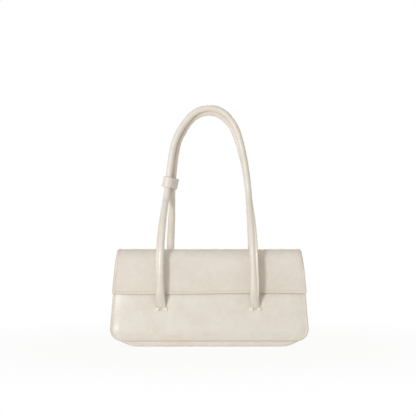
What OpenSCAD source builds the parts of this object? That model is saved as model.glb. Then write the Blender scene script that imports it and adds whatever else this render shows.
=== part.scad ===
/* [Panels] */
// Width of the front and back panels at their widest
panel_w = 279; // [230:1:340]
// Width that the panels narrow to at the height of the closed bag
panel_top_w = 259.5; // [220:0.5:330]
// Height of the closed bag, floor to the top of the flap
body_h = 138; // [120:1:170]
// Depth between the outer faces of the two panels
body_d = 60; // [54:1:80]
// Height of the panels' bottom edge above the floor
panel_edge_z = 8.7; // [6:0.1:12]
// Radius of the panels' bottom corners
panel_corner_r = 17; // [12:0.5:24]
// Thickness of the panel leather
panel_t = 2.2; // [1.6:0.1:2.6]
// How far the front panel's top edge is below the top of the closed bag
front_mouth_drop = 12; // [11:1:24]
// How far the back panel's top edge is below the top of the closed bag
back_mouth_drop = 6; // [6:1:20]

/* [Gusset] */
// Width of the turned-out seam between a panel and the gusset
seam_inset = 3.5; // [2.5:0.1:5]
// Thickness of the gusset leather
gusset_t = 2; // [1.4:0.1:2.4]
// How far the gusset bulges at the bag's two ends
end_belly = 1.8; // [1:0.1:2.4]
// Length of the flat that the bag stands on
base_flat_l = 196; // [140:1:210]
// Length over which the sagging base rises to each corner
base_ramp_l = 38; // [30:1:42]
// How far the gusset's two top ends are below the front panel's top edge
gusset_top_drop = 2; // [1:0.5:16]

/* [Lining] */
// Thickness of the stiffening board behind each panel
board_t = 1; // [0.6:0.1:1.4]
// Thickness of the lining cloth
lining_t = 0.8; // [0.5:0.1:1]
// Thickness of the leather facing inside the mouth
facing_t = 1.6; // [1.2:0.1:1.7]
// Height of the leather facing inside the mouth
facing_h = 20; // [14:1:28]
// Length of the board in the base
base_board_l = 188; // [130:1:192]
// Width of the board in the base
base_board_w = 29; // [20:1:31]
// Thickness of the board in the base
base_board_t = 1.5; // [1:0.1:2]

/* [Slip pocket] */
// Width of the slip pocket on the back lining
pocket_w = 130; // [100:1:150]
// Height of the slip pocket
pocket_h = 72; // [60:1:80]
// Depth of the slip pocket's open space
pocket_gap = 5; // [4.5:0.1:8]
// Height of the slip pocket's bottom above the floor
pocket_z = 30; // [24:1:34]

/* [Flap] */
// How far the closed flap reaches down the front, from the top of the closed bag
flap_drop = 63; // [56:1:74]
// Width of the flap at the top fold
flap_top_w = 260; // [220:1:330]
// How far each side of the flap's free edge stands past the panel
flap_overhang = 1.4; // [0.6:0.1:2.4]
// Thickness of the flap leather
flap_t = 1.5; // [1.2:0.1:1.8]
// Thickness of the stiffener inside the flap
flap_board_t = 0.7; // [0.5:0.1:1]
// Space between the front panel and the flap lining, which the magnets fill
flap_gap = 3.5; // [3.5:0.1:4.5]
// Outer radius of the flap's front fold
front_fold_r = 6; // [5:0.5:7]
// Outer radius of the flap's back fold
back_fold_r = 4; // [3.5:0.5:5]
// Radius of the flap's lower corners
flap_corner_r = 3; // [2:0.5:6]
// Width of the turned seam along the flap's edges
flap_hem = 6; // [4:0.5:9]
// Height of the flap's root that is sewn to the back panel
flap_root_h = 34; // [24:1:44]

/* [Magnets] */
// Diameter of the magnet discs
magnet_d = 18; // [14:0.5:20]
// Height that each magnet disc stands proud
magnet_t = 1.6; // [1.2:0.1:1.7]
// Height of the magnets' centre above the flap's free edge
magnet_rise = 15; // [12:1:21]
// Diameter of the magnets' rivet posts
post_d = 3; // [2:0.1:4]
// Diameter of the washers that hold the rivet posts
washer_d = 16; // [12:0.5:18]
// Thickness of the body washer
washer_t = 0.8; // [0.5:0.1:0.9]

/* [Handles] */
// Half of the distance between the two ends of a handle
handle_half_w = 66; // [56:1:76]
// Height of the handle ends above the floor
handle_end_z = 53.5; // [50:0.5:58]
// Height from the handle ends to the top of the front handle's centre line
handle_rise = 284; // [270:1:300]
// Diameter of the rolled handles
handle_d = 9.6; // [8:0.1:10.4]
// Diameter of the filler cord in the handles
core_d = 5.6; // [4:0.1:6]
// Width of a handle's flattened end
handle_tab_w = 15.5; // [12:0.5:18]
// Thickness of a handle's flattened end
handle_tab_t = 3.4; // [2.6:0.1:5]
// Length over which a handle widens into its end
handle_flare_l = 90; // [60:1:100]
// Length over which a handle flattens into its end
handle_flat_l = 36; // [28:1:44]
// Free gap between the closed flap and the bulge of a handle
handle_stand = 9; // [8:0.1:12]
// Distance between the centre lines of the two handles where they run together
handle_pair_d = 10.4; // [10.2:0.1:12]
// Side of the square patches behind the handle ends
patch_s = 24; // [18:1:30]
// Thickness of the patches behind the handle ends
patch_t = 0.8; // [0.5:0.1:0.9]

/* [Keeper] */
// Thickness of the keeper's leather
keeper_t = 2.2; // [1.6:0.1:2.6]
// Height of the keeper along the handle
keeper_h = 15; // [10:0.5:20]
// Free gap between the keeper and the handles
keeper_play = 0.9; // [0.7:0.1:1.5]
// Height of the keeper's middle above the handle ends
keeper_rise = 178; // [176:1:182]

/* [Fits] */
// Gap between neighbouring soft pieces
fit = 0.3; // [0.2:0.05:0.4]
// Gap round a post in its hole
post_fit = 0.1; // [0.05:0.05:0.2]
// Overrun of a cut past the face that it opens
overrun = 1; // [0.5:0.5:2]

/* [Hidden] */
$fn = 48;

cream = [0.88, 0.85, 0.8];
pale_cream = [0.92, 0.9, 0.86];
lining_beige = [0.8, 0.75, 0.67];
board_grey = [0.6, 0.57, 0.52];
steel = [0.75, 0.75, 0.76];
cord_white = [0.86, 0.84, 0.8];

// Faces of the wall layers, each a distance from the bag's middle plane
panel_out_y = body_d / 2;
panel_in_y = panel_out_y - panel_t;
board_in_y = panel_in_y - board_t;
lining_in_y = board_in_y - lining_t;

// Heights that follow the closed bag's top
front_mouth_z = body_h - front_mouth_drop;
back_mouth_z = body_h - back_mouth_drop;
gusset_top_z = front_mouth_z - gusset_top_drop;
flap_edge_z = body_h - flap_drop;
magnet_z = flap_edge_z + magnet_rise;

// Height where the straight ends start, and how fast the panels narrow above it
wide_z = panel_edge_z + panel_corner_r;
end_slope = (panel_w - panel_top_w) / 2 / (body_h - wide_z);
inner_inset = seam_inset + gusset_t + fit;
base_belly = panel_edge_z + seam_inset;
lining_belly = base_belly - base_board_t - fit;

// Faces of the flap's layers, each a distance in front of the middle plane
flap_in_y = panel_out_y + flap_gap;
flap_board_y = flap_in_y + lining_t;
flap_leather_y = flap_board_y + flap_board_t;
flap_out_y = flap_leather_y + flap_t;
flap_back_y = panel_out_y + flap_t;

// Axes of the two flap hinges, at mid thickness of the leather
knuckle_r = flap_t / 2 + fit;
knuckle_end = sqrt(pow(knuckle_r, 2) - pow(flap_t / 2, 2));
hinge_z = body_h - back_fold_r - knuckle_r;
hinge_y = panel_out_y + flap_t / 2;
fold_z = body_h - front_fold_r - knuckle_r;
fold_y = flap_out_y - flap_t / 2;

// Handles: distances of their centre lines from the bag's middle plane
seat_y = panel_out_y + fit + handle_tab_t / 2;
bow_y = flap_out_y + handle_stand + handle_d / 2;
pair_y = handle_pair_d / 2;
ring_sides = 10;
bore_sides = 8;
slot_sides = 14;
loop_spans = 6;

// Centre line of the front handle, left end to right end: share of handle_half_w across,
// of handle_rise up, and of the way from the pair out to the bulge
front_handle_shares = [
    [-1.02, 0, 0], [-1.023, 0.0145, 0], [-1.034, 0.05, 0.72], [-1.037, 0.1, 0.905],
    [-1.032, 0.19, 1], [-1.025, 0.26, 1], [-1.016, 0.32, 0.96], [-1.001, 0.375, 0.84],
    [-0.985, 0.425, 0.645], [-0.9635, 0.48, 0.4], [-0.942, 0.525, 0.175], [-0.918, 0.565, 0.045],
    [-0.8935, 0.61, 0], [-0.854, 0.69, 0], [-0.8035, 0.777, 0], [-0.737, 0.838, 0],
    [-0.647, 0.884, 0], [-0.5185, 0.93, 0], [-0.379, 0.967, 0], [-0.212, 0.991, 0], [0, 1, 0],
    [0.197, 0.993, 0], [0.364, 0.969, 0], [0.5, 0.931, 0], [0.604, 0.884, 0], [0.675, 0.83, 0],
    [0.735, 0.77, 0], [0.794, 0.69, 0], [0.835, 0.61, 0], [0.85, 0.565, 0.045],
    [0.862, 0.525, 0.175], [0.876, 0.48, 0.4], [0.892, 0.425, 0.645], [0.904, 0.375, 0.84],
    [0.914, 0.32, 0.96], [0.925, 0.26, 1], [0.94, 0.19, 1], [0.955, 0.1, 0.905],
    [0.965, 0.05, 0.72], [0.973, 0.0145, 0], [0.975, 0, 0]];
// Centre line of the back handle, in the same shares; its loop is a little smaller
back_handle_shares = [
    [-0.856, 0, 0], [-0.856, 0.0145, 0], [-0.8555, 0.05, 0.72], [-0.855, 0.1, 0.905],
    [-0.853, 0.19, 1], [-0.849, 0.26, 1], [-0.842, 0.32, 0.96], [-0.832, 0.375, 0.84],
    [-0.822, 0.425, 0.645], [-0.812, 0.48, 0.4], [-0.806, 0.525, 0.175], [-0.802, 0.565, 0.045],
    [-0.796, 0.61, 0], [-0.765, 0.69, 0], [-0.717, 0.777, 0], [-0.654, 0.838, 0],
    [-0.546, 0.8885, 0], [-0.4, 0.9376, 0], [-0.215, 0.97, 0], [0, 0.98, 0], [0.21, 0.9685, 0],
    [0.396, 0.9345, 0], [0.523, 0.8915, 0], [0.624, 0.83, 0], [0.698, 0.77, 0], [0.778, 0.69, 0],
    [0.83, 0.61, 0], [0.852, 0.565, 0.045], [0.866, 0.525, 0.175], [0.882, 0.48, 0.4],
    [0.9, 0.425, 0.645], [0.913, 0.375, 0.84], [0.924, 0.32, 0.96], [0.932, 0.26, 1],
    [0.938, 0.19, 1], [0.942, 0.1, 0.905], [0.944, 0.05, 0.72], [0.945, 0.0145, 0], [0.945, 0, 0]];
// Rows of a handle's table from its left end up to its straight left strand
strand_rows = 15;
// Across the gusset's depth: share of its half depth, and share of the bulge there
belly_shares = [[-1, 0], [-0.82, 0.62], [-0.6, 1], [0.6, 1], [0.82, 0.62], [1, 0]];
// Share of the ends' bulge that is left at the gusset's top
top_belly_share = 0.3;
base_steps = 20;
corner_steps = 5;
end_steps = 3;

function mix(a, b, share) = a + (b - a) * share;
function clamp01(v) = min(1, max(0, v));
function smooth(v) = let (c = clamp01(v)) c * c * (3 - 2 * c);
function half_w_at(z) = panel_w / 2 - end_slope * max(0, z - wide_z);
function arc(c, r, a0, a1, n = 8) =
    [for (i = [0:n]) let (a = a0 + (a1 - a0) * i / n) c + r * [cos(a), sin(a)]];
function flip(points) = [for (i = [len(points) - 1:-1:0]) points[i]];

// Outline of a panel's layer, drawn in by inset and cut off at top_z
function panel_outline(inset, top_z) = let (cx = panel_w / 2 - panel_corner_r)
    concat([[half_w_at(top_z) - inset, top_z], [-half_w_at(top_z) + inset, top_z]],
        arc([-cx, wide_z], panel_corner_r - inset, 180, 270),
        arc([cx, wide_z], panel_corner_r - inset, 270, 360));

// A flat layer in front of the middle plane, from y_near to y_far
module front_layer(y_near, y_far) {
    translate([0, -y_near, 0]) rotate([90, 0, 0]) linear_extrude(y_far - y_near) children();
}

module at_back() {
    mirror([0, 1, 0]) children();
}

module panel_layer(inset, top_z, y_near, y_far) {
    front_layer(y_near, y_far) polygon(panel_outline(inset, top_z));
}

// Holes along Y for the rivet post of a magnet
module magnet_hole(d, y_near, y_far) {
    translate([0, -y_near + overrun, magnet_z]) rotate([90, 0, 0])
        cylinder(d = d, h = y_far - y_near + 2 * overrun);
}

module front_panel() color(cream) difference() {
    panel_layer(0, front_mouth_z, panel_in_y, panel_out_y);
    magnet_hole(post_d + 2 * post_fit, panel_in_y, panel_out_y);
}

module back_panel() color(cream) at_back()
    panel_layer(0, back_mouth_z, panel_in_y, panel_out_y);

// Boards and linings stop under the facing; the front board also clears the washer and the patches
module wall_board(mouth_z, handle_shares, washer_hole) difference() {
    panel_layer(inner_inset, mouth_z - facing_h - fit, board_in_y, panel_in_y);
    if (washer_hole) magnet_hole(washer_d + 2 * fit, board_in_y, panel_in_y);
    anchor_places(handle_shares) front_layer(board_in_y - overrun, panel_in_y + overrun)
        square(patch_s + 2 * fit, center = true);
}

module front_board() color(board_grey) wall_board(front_mouth_z, front_handle_shares, true);
module back_board() color(board_grey) at_back() wall_board(back_mouth_z, back_handle_shares, false);

module facing(mouth_z) front_layer(panel_in_y - facing_t, panel_in_y) intersection() {
    polygon(panel_outline(inner_inset, mouth_z - fit));
    translate([-panel_w / 2, mouth_z - facing_h]) square([panel_w, facing_h]);
}

module front_facing() color(pale_cream) facing(front_mouth_z);
module back_facing() color(pale_cream) at_back() facing(back_mouth_z);

module front_lining() color(lining_beige)
    panel_layer(inner_inset, front_mouth_z - facing_h - fit, lining_in_y, board_in_y);
module back_lining() color(lining_beige) at_back()
    panel_layer(inner_inset, back_mouth_z - facing_h - fit, lining_in_y, board_in_y);

// Patches that the ends of a handle are sewn through
module anchor_places(handle_shares) {
    for (end_share = [handle_shares[0], handle_shares[len(handle_shares) - 1]])
        translate([end_share[0] * handle_half_w, 0, handle_end_z + handle_tab_w / 2]) children();
}

module anchor_patches(handle_shares) anchor_places(handle_shares)
    front_layer(panel_in_y - patch_t, panel_in_y) square(patch_s, center = true);

module front_anchor_patches() color(board_grey) anchor_patches(front_handle_shares);
module back_anchor_patches() color(board_grey) at_back() anchor_patches(back_handle_shares);

// Stations round the bag's ends and base: point on the panel outline, outward direction, bulge
function end_station(side, z, top_z) = [[side * half_w_at(z), z], [side, 0],
    end_belly * mix(top_belly_share, 1, smooth((top_z - z) / panel_corner_r))];
function corner_station(side, a, belly) = let (cx = panel_w / 2 - panel_corner_r,
        dir = [side * cos(a), sin(a)], p = [side * cx, wide_z] + panel_corner_r * dir)
    [p, dir, belly_at(abs(p[0]), belly)];
function belly_at(x, belly) = end_belly + (belly - end_belly) *
    smooth((base_flat_l / 2 + base_ramp_l - x) / base_ramp_l);
function half_stations(side, belly, top_z) = concat(
    [for (i = [0:end_steps - 1]) end_station(side, mix(top_z, wide_z, i / end_steps), top_z)],
    [for (i = [0:corner_steps]) corner_station(side, -90 * i / corner_steps, belly)]);
function u_stations(belly, top_z) = let (cx = panel_w / 2 - panel_corner_r) concat(
    half_stations(-1, belly, top_z),
    [for (i = [1:base_steps - 1]) let (x = -cx + 2 * cx * i / base_steps)
        [[x, panel_edge_z], [0, -1], belly_at(abs(x), belly)]],
    flip(half_stations(1, belly, top_z)));

// Band that runs round the stations, at a given inset from the outline
function band_ring(s, inset, t, half_y) = concat(
    [for (b = belly_shares) let (p = s[0] - s[1] * (inset - s[2] * b[1])) [p[0], half_y * b[0], p[1]]],
    flip([for (b = belly_shares) let (p = s[0] - s[1] * (inset + t - s[2] * b[1]))
        [p[0], half_y * b[0], p[1]]]));

// Solid through a row of rings with equally many points
module ring_solid(rings) {
    n = len(rings[0]);
    m = len(rings);
    polyhedron(
        points = [for (r = rings) for (p = r) p],
        faces = concat([[for (i = [0:n - 1]) i]], [[for (i = [n - 1:-1:0]) (m - 1) * n + i]],
            [for (j = [0:m - 2]) for (i = [0:n - 1])
                [j * n + i, (j + 1) * n + i, (j + 1) * n + (i + 1) % n]],
            [for (j = [0:m - 2]) for (i = [0:n - 1])
                [j * n + i, (j + 1) * n + (i + 1) % n, j * n + (i + 1) % n]]));
}

module gusset() color(cream)
    ring_solid([for (s = u_stations(base_belly, gusset_top_z))
        band_ring(s, seam_inset, gusset_t, panel_in_y)]);

module gusset_lining() color(lining_beige)
    ring_solid([for (s = u_stations(lining_belly, gusset_top_z - 2 * gusset_t))
        band_ring(s, inner_inset, lining_t, lining_in_y)]);

module base_board() color(board_grey)
    translate([-base_board_l / 2, -base_board_w / 2, gusset_t + fit / 2])
        cube([base_board_l, base_board_w, base_board_t]);

// A flat bag of lining cloth, open at the top
module slip_pocket() color(lining_beige) at_back() difference() {
    front_layer(lining_in_y - pocket_gap - lining_t, lining_in_y)
        translate([-pocket_w / 2, pocket_z]) square([pocket_w, pocket_h]);
    front_layer(lining_in_y - pocket_gap, lining_in_y + overrun)
        translate([-pocket_w / 2 + lining_t, pocket_z + lining_t])
            square([pocket_w - 2 * lining_t, pocket_h]);
}

// Flap: outline of the part in front, hem drawn in by inset
function flap_half_w_at(z) = mix(half_w_at(flap_edge_z) + flap_overhang, flap_top_w / 2,
    (z - flap_edge_z) / (fold_z - flap_edge_z));
function flap_outline(inset, top_z, corner_r) = let (low = flap_edge_z + inset,
        half_low = flap_half_w_at(low) - inset, half_top = flap_half_w_at(top_z) - inset)
    concat([[half_top, top_z], [-half_top, top_z]],
        arc([-half_low + corner_r, low + corner_r], corner_r, 180, 270),
        arc([half_low - corner_r, low + corner_r], corner_r, 270, 360));

// Section of the leather over the bag's top, from the back hinge to the front fold
function top_section(inner) = let (r_back = back_fold_r - inner, r_front = front_fold_r - inner)
    concat([[flap_back_y - inner, hinge_z + knuckle_end]],
        arc([flap_back_y - back_fold_r, body_h - back_fold_r], r_back, 0, 90),
        arc([-flap_out_y + front_fold_r, body_h - front_fold_r], r_front, 90, 180),
        [[-flap_out_y + inner, fold_z + knuckle_end]]);

// Extrudes a section drawn in Y and Z along X, to a width
module across(w) {
    rotate([90, 0, 90]) translate([0, 0, -w / 2]) linear_extrude(w) children();
}

module hinge_round(y, z, r, w) {
    translate([-w / 2, y, z]) rotate([0, 90, 0]) cylinder(r = r, h = w);
}

module flap_top() color(cream) difference() {
    across(flap_top_w) polygon(concat(top_section(0), flip(top_section(flap_t))));
    hinge_round(hinge_y, hinge_z, knuckle_r, flap_top_w + 2 * overrun);
    hinge_round(-fold_y, fold_z, knuckle_r, flap_top_w + 2 * overrun);
}

module flap_top_lining() color(lining_beige)
    translate([-flap_top_w / 2 + flap_hem, -flap_out_y + front_fold_r, body_h - flap_t - lining_t])
        cube([flap_top_w - 2 * flap_hem, flap_out_y + flap_back_y - front_fold_r - back_fold_r,
            lining_t]);

module flap_root() color(cream) union() {
    at_back() front_layer(panel_out_y, flap_back_y)
        translate([-flap_top_w / 2, hinge_z - flap_root_h]) square([flap_top_w, flap_root_h]);
    hinge_round(hinge_y, hinge_z, flap_t / 2, flap_top_w);
}

module flap_front() color(cream) union() {
    front_layer(flap_leather_y, flap_out_y) polygon(flap_outline(0, fold_z, flap_corner_r));
    hinge_round(-fold_y, fold_z, flap_t / 2, flap_top_w);
}

// The layers behind the leather start a little below the fold, so that it can bend
flap_inner_top_z = fold_z - flap_t - flap_board_t;

module flap_front_board() color(board_grey) difference() {
    front_layer(flap_board_y, flap_leather_y)
        polygon(flap_outline(flap_hem, flap_inner_top_z, flap_corner_r));
    magnet_hole(washer_d + 2 * fit, flap_board_y, flap_leather_y);
}

module flap_front_lining() color(lining_beige) difference() {
    union() {
        front_layer(flap_in_y, flap_board_y)
            polygon(flap_outline(0, flap_inner_top_z, flap_corner_r));
        front_layer(flap_board_y, flap_leather_y) difference() {
            polygon(flap_outline(0, flap_inner_top_z, flap_corner_r));
            polygon(flap_outline(flap_hem - fit, flap_inner_top_z + overrun, flap_corner_r));
        }
    }
    magnet_hole(post_d + 2 * post_fit, flap_in_y, flap_board_y);
}

// Magnet half: a pressed disc with a rounded rim and a dish, on a rivet post
module magnet_half(post_l) {
    rim_r = magnet_t / 2;
    dish_r = magnet_d / 5;
    dish_deep = magnet_t / 4;
    rotate_extrude() polygon(concat([[0, -post_l], [post_d / 2, -post_l], [post_d / 2, 0]],
        [[magnet_d / 2, 0]], arc([magnet_d / 2 - rim_r, magnet_t - rim_r], rim_r, 0, 90),
        [[dish_r + dish_deep, magnet_t], [dish_r, magnet_t - dish_deep],
        [0, magnet_t - dish_deep]]));
}

module washer(t) difference() {
    cylinder(d = washer_d, h = t);
    translate([0, 0, -overrun]) cylinder(d = post_d + 2 * post_fit, h = t + 2 * overrun);
}

module body_magnet() color(steel) translate([0, -panel_out_y, magnet_z]) rotate([90, 0, 0])
    magnet_half(panel_t + washer_t);
module body_magnet_washer() color(steel)
    translate([0, -panel_in_y + washer_t, magnet_z]) rotate([90, 0, 0]) washer(washer_t);
module flap_magnet() color(steel) translate([0, -flap_in_y, magnet_z]) rotate([-90, 0, 0])
    magnet_half(lining_t + flap_board_t);
module flap_magnet_washer() color(steel)
    translate([0, -flap_board_y, magnet_z]) rotate([90, 0, 0]) washer(flap_board_t);

// Centre line of a handle in real lengths, on the front; its two ends lie on the panel
function handle_point(shares, i) = let (s = shares[i],
        y = (i < 2 || i > len(shares) - 3) ? seat_y : mix(pair_y, bow_y, s[2]))
    [s[0] * handle_half_w, -y, handle_end_z + s[1] * handle_rise];
function spline(p0, p1, p2, p3, t) = 0.5 * (2 * p1 + (p2 - p0) * t +
    (2 * p0 - 5 * p1 + 4 * p2 - p3) * t * t + (3 * p1 - p0 - 3 * p2 + p3) * t * t * t);
function handle_line(shares, from = 0) = let (n = len(shares) - 1,
        p = [for (i = [0:n]) handle_point(shares, i)])
    concat([for (i = [from:n - 1 - from]) for (k = [0:steps_of(i, n) - 1])
        spline(p[max(0, i - 1)], p[i], p[i + 1], p[min(n, i + 2)], k / steps_of(i, n))],
        [p[n - from]]);
function steps_of(i, n) = i < 4 || i > n - 5 || abs(i + 0.5 - n / 2) < loop_spans ? 2 : 1;
function unit(v) = v / norm(v);
function tangent(line, i) =
    unit(line[min(len(line) - 1, i + 1)] - line[max(0, i - 1)]);

// Ring of a handle round point i of its line: wide and flat at the ends, round above
function handle_ring(line, i, d, flare, sides) = let (h = line[i][2] - handle_end_z,
        t = tangent(line, i), u = unit(cross([0, 1, 0], t)), v = cross(t, u),
        rw = d / 2 * (1 + flare * (handle_tab_w / handle_d - 1) * smooth(1 - h / handle_flare_l)),
        rt = d / 2 * (1 - flare * (1 - handle_tab_t / handle_d) * smooth(1 - h / handle_flat_l)))
    [for (k = [0:sides - 1]) let (a = 360 * (k + 0.5) / sides)
        line[i] + u * rw * cos(a) + v * rt * sin(a)];
module handle_solid(shares, d, flare, sides, from) {
    line = handle_line(shares, from);
    ring_solid([for (i = [0:len(line) - 1]) handle_ring(line, i, d, flare, sides)]);
}

// The filler cord stops where the handle starts to flatten
core_from = 3;
module rolled_handle(shares) difference() {
    handle_solid(shares, handle_d, 1, ring_sides, 0);
    handle_solid(shares, core_d + fit, 0, bore_sides, core_from);
}
module handle_core(shares) handle_solid(shares, core_d, 0, bore_sides, core_from);

module front_handle() color(pale_cream) rolled_handle(front_handle_shares);
module front_handle_core() color(cord_white) handle_core(front_handle_shares);
module back_handle() color(pale_cream) at_back() rolled_handle(back_handle_shares);
module back_handle_core() color(cord_white) at_back() handle_core(back_handle_shares);

// Where a handle's left strand stands across, at a height above the handle ends
function strand_x(shares, rise) = handle_half_w * lookup(rise / handle_rise,
    [for (i = [0:strand_rows - 1]) [shares[i][1], shares[i][0]]]);
function pair_x(rise) =
    (strand_x(front_handle_shares, rise) + strand_x(back_handle_shares, rise)) / 2;

// Keeper: a band round both handles' left strands, square to the way that they lean
keeper_shift = strand_x(back_handle_shares, keeper_rise) - strand_x(front_handle_shares, keeper_rise);
keeper_lean = (pair_x(keeper_rise + 2 * keeper_h) - pair_x(keeper_rise)) / (2 * keeper_h);
keeper_in_r = handle_d / 2 + keeper_play;
keeper_turn = atan2(handle_pair_d, keeper_shift);
function slot_end(side, r) = [for (i = [0:slot_sides])
    side * ([keeper_shift, handle_pair_d] / 2 + r * [cos(keeper_turn - 90 + 180 * i / slot_sides),
        sin(keeper_turn - 90 + 180 * i / slot_sides)])];
module slanted_slot(r) polygon(concat(slot_end(1, r), slot_end(-1, r)));
module keeper() color(pale_cream)
    translate([pair_x(keeper_rise), 0, handle_end_z + keeper_rise])
        rotate([0, atan(keeper_lean), 0]) translate([0, 0, -keeper_h / 2])
            linear_extrude(keeper_h) difference() {
                slanted_slot(keeper_in_r + keeper_t);
                slanted_slot(keeper_in_r);
            }

front_panel();
front_board();
front_facing();
front_lining();
front_anchor_patches();
back_panel();
back_board();
back_facing();
back_lining();
back_anchor_patches();
gusset();
gusset_lining();
base_board();
slip_pocket();
flap_root();
flap_top();
flap_top_lining();
flap_front();
flap_front_board();
flap_front_lining();
body_magnet();
body_magnet_washer();
flap_magnet();
flap_magnet_washer();
front_handle();
front_handle_core();
back_handle();
back_handle_core();
keeper();
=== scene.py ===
"""Slim flap-over shoulder bag in smooth cream leather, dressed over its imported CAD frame."""

import logging
import math
from collections.abc import Callable, Sequence
from dataclasses import dataclass, field
from enum import Enum

import bmesh
import bpy
import numpy as np
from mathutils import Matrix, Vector
from mathutils.geometry import delaunay_2d_cdt


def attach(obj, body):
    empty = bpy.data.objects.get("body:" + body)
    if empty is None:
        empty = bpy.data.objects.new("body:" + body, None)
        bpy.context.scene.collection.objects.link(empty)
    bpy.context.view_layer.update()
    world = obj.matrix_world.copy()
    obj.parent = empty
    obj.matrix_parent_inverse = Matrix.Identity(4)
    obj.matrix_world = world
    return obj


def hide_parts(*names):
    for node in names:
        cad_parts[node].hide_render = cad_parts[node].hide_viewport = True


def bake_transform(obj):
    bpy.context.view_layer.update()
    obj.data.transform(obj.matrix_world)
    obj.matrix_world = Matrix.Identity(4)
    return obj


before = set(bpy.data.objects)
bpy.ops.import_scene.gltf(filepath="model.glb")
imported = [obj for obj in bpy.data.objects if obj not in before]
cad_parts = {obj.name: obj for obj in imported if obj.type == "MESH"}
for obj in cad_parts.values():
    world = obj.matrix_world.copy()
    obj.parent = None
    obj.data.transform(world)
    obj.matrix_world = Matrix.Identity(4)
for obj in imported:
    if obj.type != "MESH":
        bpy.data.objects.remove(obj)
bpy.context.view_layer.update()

LOG = logging.getLogger("shoulder_bag")
MM = 0.001
Array = np.ndarray
Tree = bpy.types.NodeTree
Socket = bpy.types.NodeSocket
Pair = tuple[float, float]
Triple = tuple[float, float, float]


# ---- Colour and shader helpers


def linear(hex_colour: str, alpha: float = 1.0) -> tuple[float, float, float, float]:
    """Turn an sRGB hex colour into the linear colour that a shader takes.

    Args:
        hex_colour: Six hex digits, with or without a leading hash.
        alpha: Alpha of the colour.

    Returns:
        Linear red, green, blue and alpha.
    """
    digits = hex_colour.lstrip("#")
    srgb = [int(digits[i:i + 2], 16) / 255 for i in (0, 2, 4)]
    red, green, blue = (c / 12.92 if c <= 0.04045 else ((c + 0.055) / 1.055) ** 2.4 for c in srgb)
    return red, green, blue, alpha


def add_node(tree: Tree, kind: str, inputs: dict | None = None,
             **settings: object) -> bpy.types.Node:
    """Add one node with its settings, its plain values and its links.

    Args:
        tree: Shader or geometry tree that gets the node.
        kind: Blender's type name of the node.
        inputs: A value, or a socket to link from, for each input's name or number.
        **settings: Properties of the node itself.

    Returns:
        The new node.
    """
    node = tree.nodes.new(kind)
    for key, value in settings.items():
        setattr(node, key, value)
    for key, value in (inputs or {}).items():
        if isinstance(value, Socket):
            tree.links.new(value, node.inputs[key])
        else:
            node.inputs[key].default_value = value
    return node


def worked(tree: Tree, operation: str, first: float | Socket, second: float | Socket) -> Socket:
    """The result of a Math node."""
    return add_node(tree, "ShaderNodeMath", {0: first, 1: second}, operation=operation).outputs[0]


def noise(tree: Tree, place: Socket, size_mm: float, **values: float) -> Socket:
    """Noise with features size_mm across; values are its other inputs."""
    values = {"Vector": place, "Scale": 1 / (size_mm * MM), **values}
    return add_node(tree, "ShaderNodeTexNoise", values).outputs["Fac"]


def waves(tree: Tree, place: Socket, size_mm: float, moved: dict, values: dict,
          **settings: str) -> Socket:
    """Bands or rings of a Wave texture.

    Args:
        tree: Tree that gets the nodes.
        place: Coordinates.
        size_mm: Distance between two bands.
        moved: How a Mapping node turns or moves the coordinates.
        values: Other inputs of the texture.
        **settings: The texture's properties, such as its direction.

    Returns:
        The waves, from 0 to 1.
    """
    held = add_node(tree, "ShaderNodeMapping", {"Vector": place, **moved}).outputs[0]
    values = {"Vector": held, "Scale": 2 * math.pi / 20 / (size_mm * MM), **values}
    return add_node(tree, "ShaderNodeTexWave", values, **settings).outputs["Fac"]


def spread(tree: Tree, value: Socket, low: float, high: float, to_low: float = 0.0,
           to_high: float = 1.0) -> Socket:
    """The value's range from low to high, mapped to the range from to_low to to_high."""
    return add_node(tree, "ShaderNodeMapRange", {
        "Value": value, "From Min": low, "From Max": high, "To Min": to_low,
        "To Max": to_high}).outputs[0]


def mixed(tree: Tree, share: Socket, first: str | Socket, second: str | Socket) -> Socket:
    """A colour from first to second, each a hex colour or a socket."""
    first, second = (linear(c) if isinstance(c, str) else c for c in (first, second))
    return add_node(tree, "ShaderNodeMix", {0: share, 6: first, 7: second},
                    data_type="RGBA").outputs[2]


def bump(tree: Tree, height: Socket, strength: float, depth_mm: float, **under: Socket) -> Socket:
    """A relief of the shading alone, laid over another one where Normal is given."""
    return add_node(tree, "ShaderNodeBump", {
        "Height": height, "Strength": strength, "Distance": depth_mm * MM, **under}).outputs[0]


def cleared(owner: bpy.types.Material | bpy.types.World) -> Tree:
    """The node tree of a material or a world, emptied."""
    owner.use_nodes = True
    owner.node_tree.nodes.clear()
    return owner.node_tree


def linked(name: str, data: bpy.types.ID) -> bpy.types.Object:
    """A new object with that data, linked to the scene."""
    made = bpy.data.objects.new(name, data)
    bpy.context.collection.objects.link(made)
    return made


class Finish:
    """A material that is made once and then shared by its pieces."""

    name: str

    def material(self) -> bpy.types.Material:
        """The finish as a Blender material, made on first use.

        Returns:
            The material.
        """
        material = bpy.data.materials.get(self.name)
        if material:
            return material
        material = bpy.data.materials.new(self.name)
        tree = cleared(material)
        place = add_node(tree, "ShaderNodeTexCoord").outputs["Object"]
        shader = add_node(tree, "ShaderNodeBsdfPrincipled", self.look(tree, place))
        add_node(tree, "ShaderNodeOutputMaterial", {"Surface": shader.outputs[0]})
        return material

    def look(self, tree: Tree, place: Socket) -> dict[str, float | Socket]:
        """The shader's inputs, plain or linked. Each finish has its own.

        Args:
            tree: The material's tree.
            place: The object's own coordinates.

        Returns:
            A value or a socket for each of the shader's inputs that it sets.
        """
        raise NotImplementedError


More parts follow.
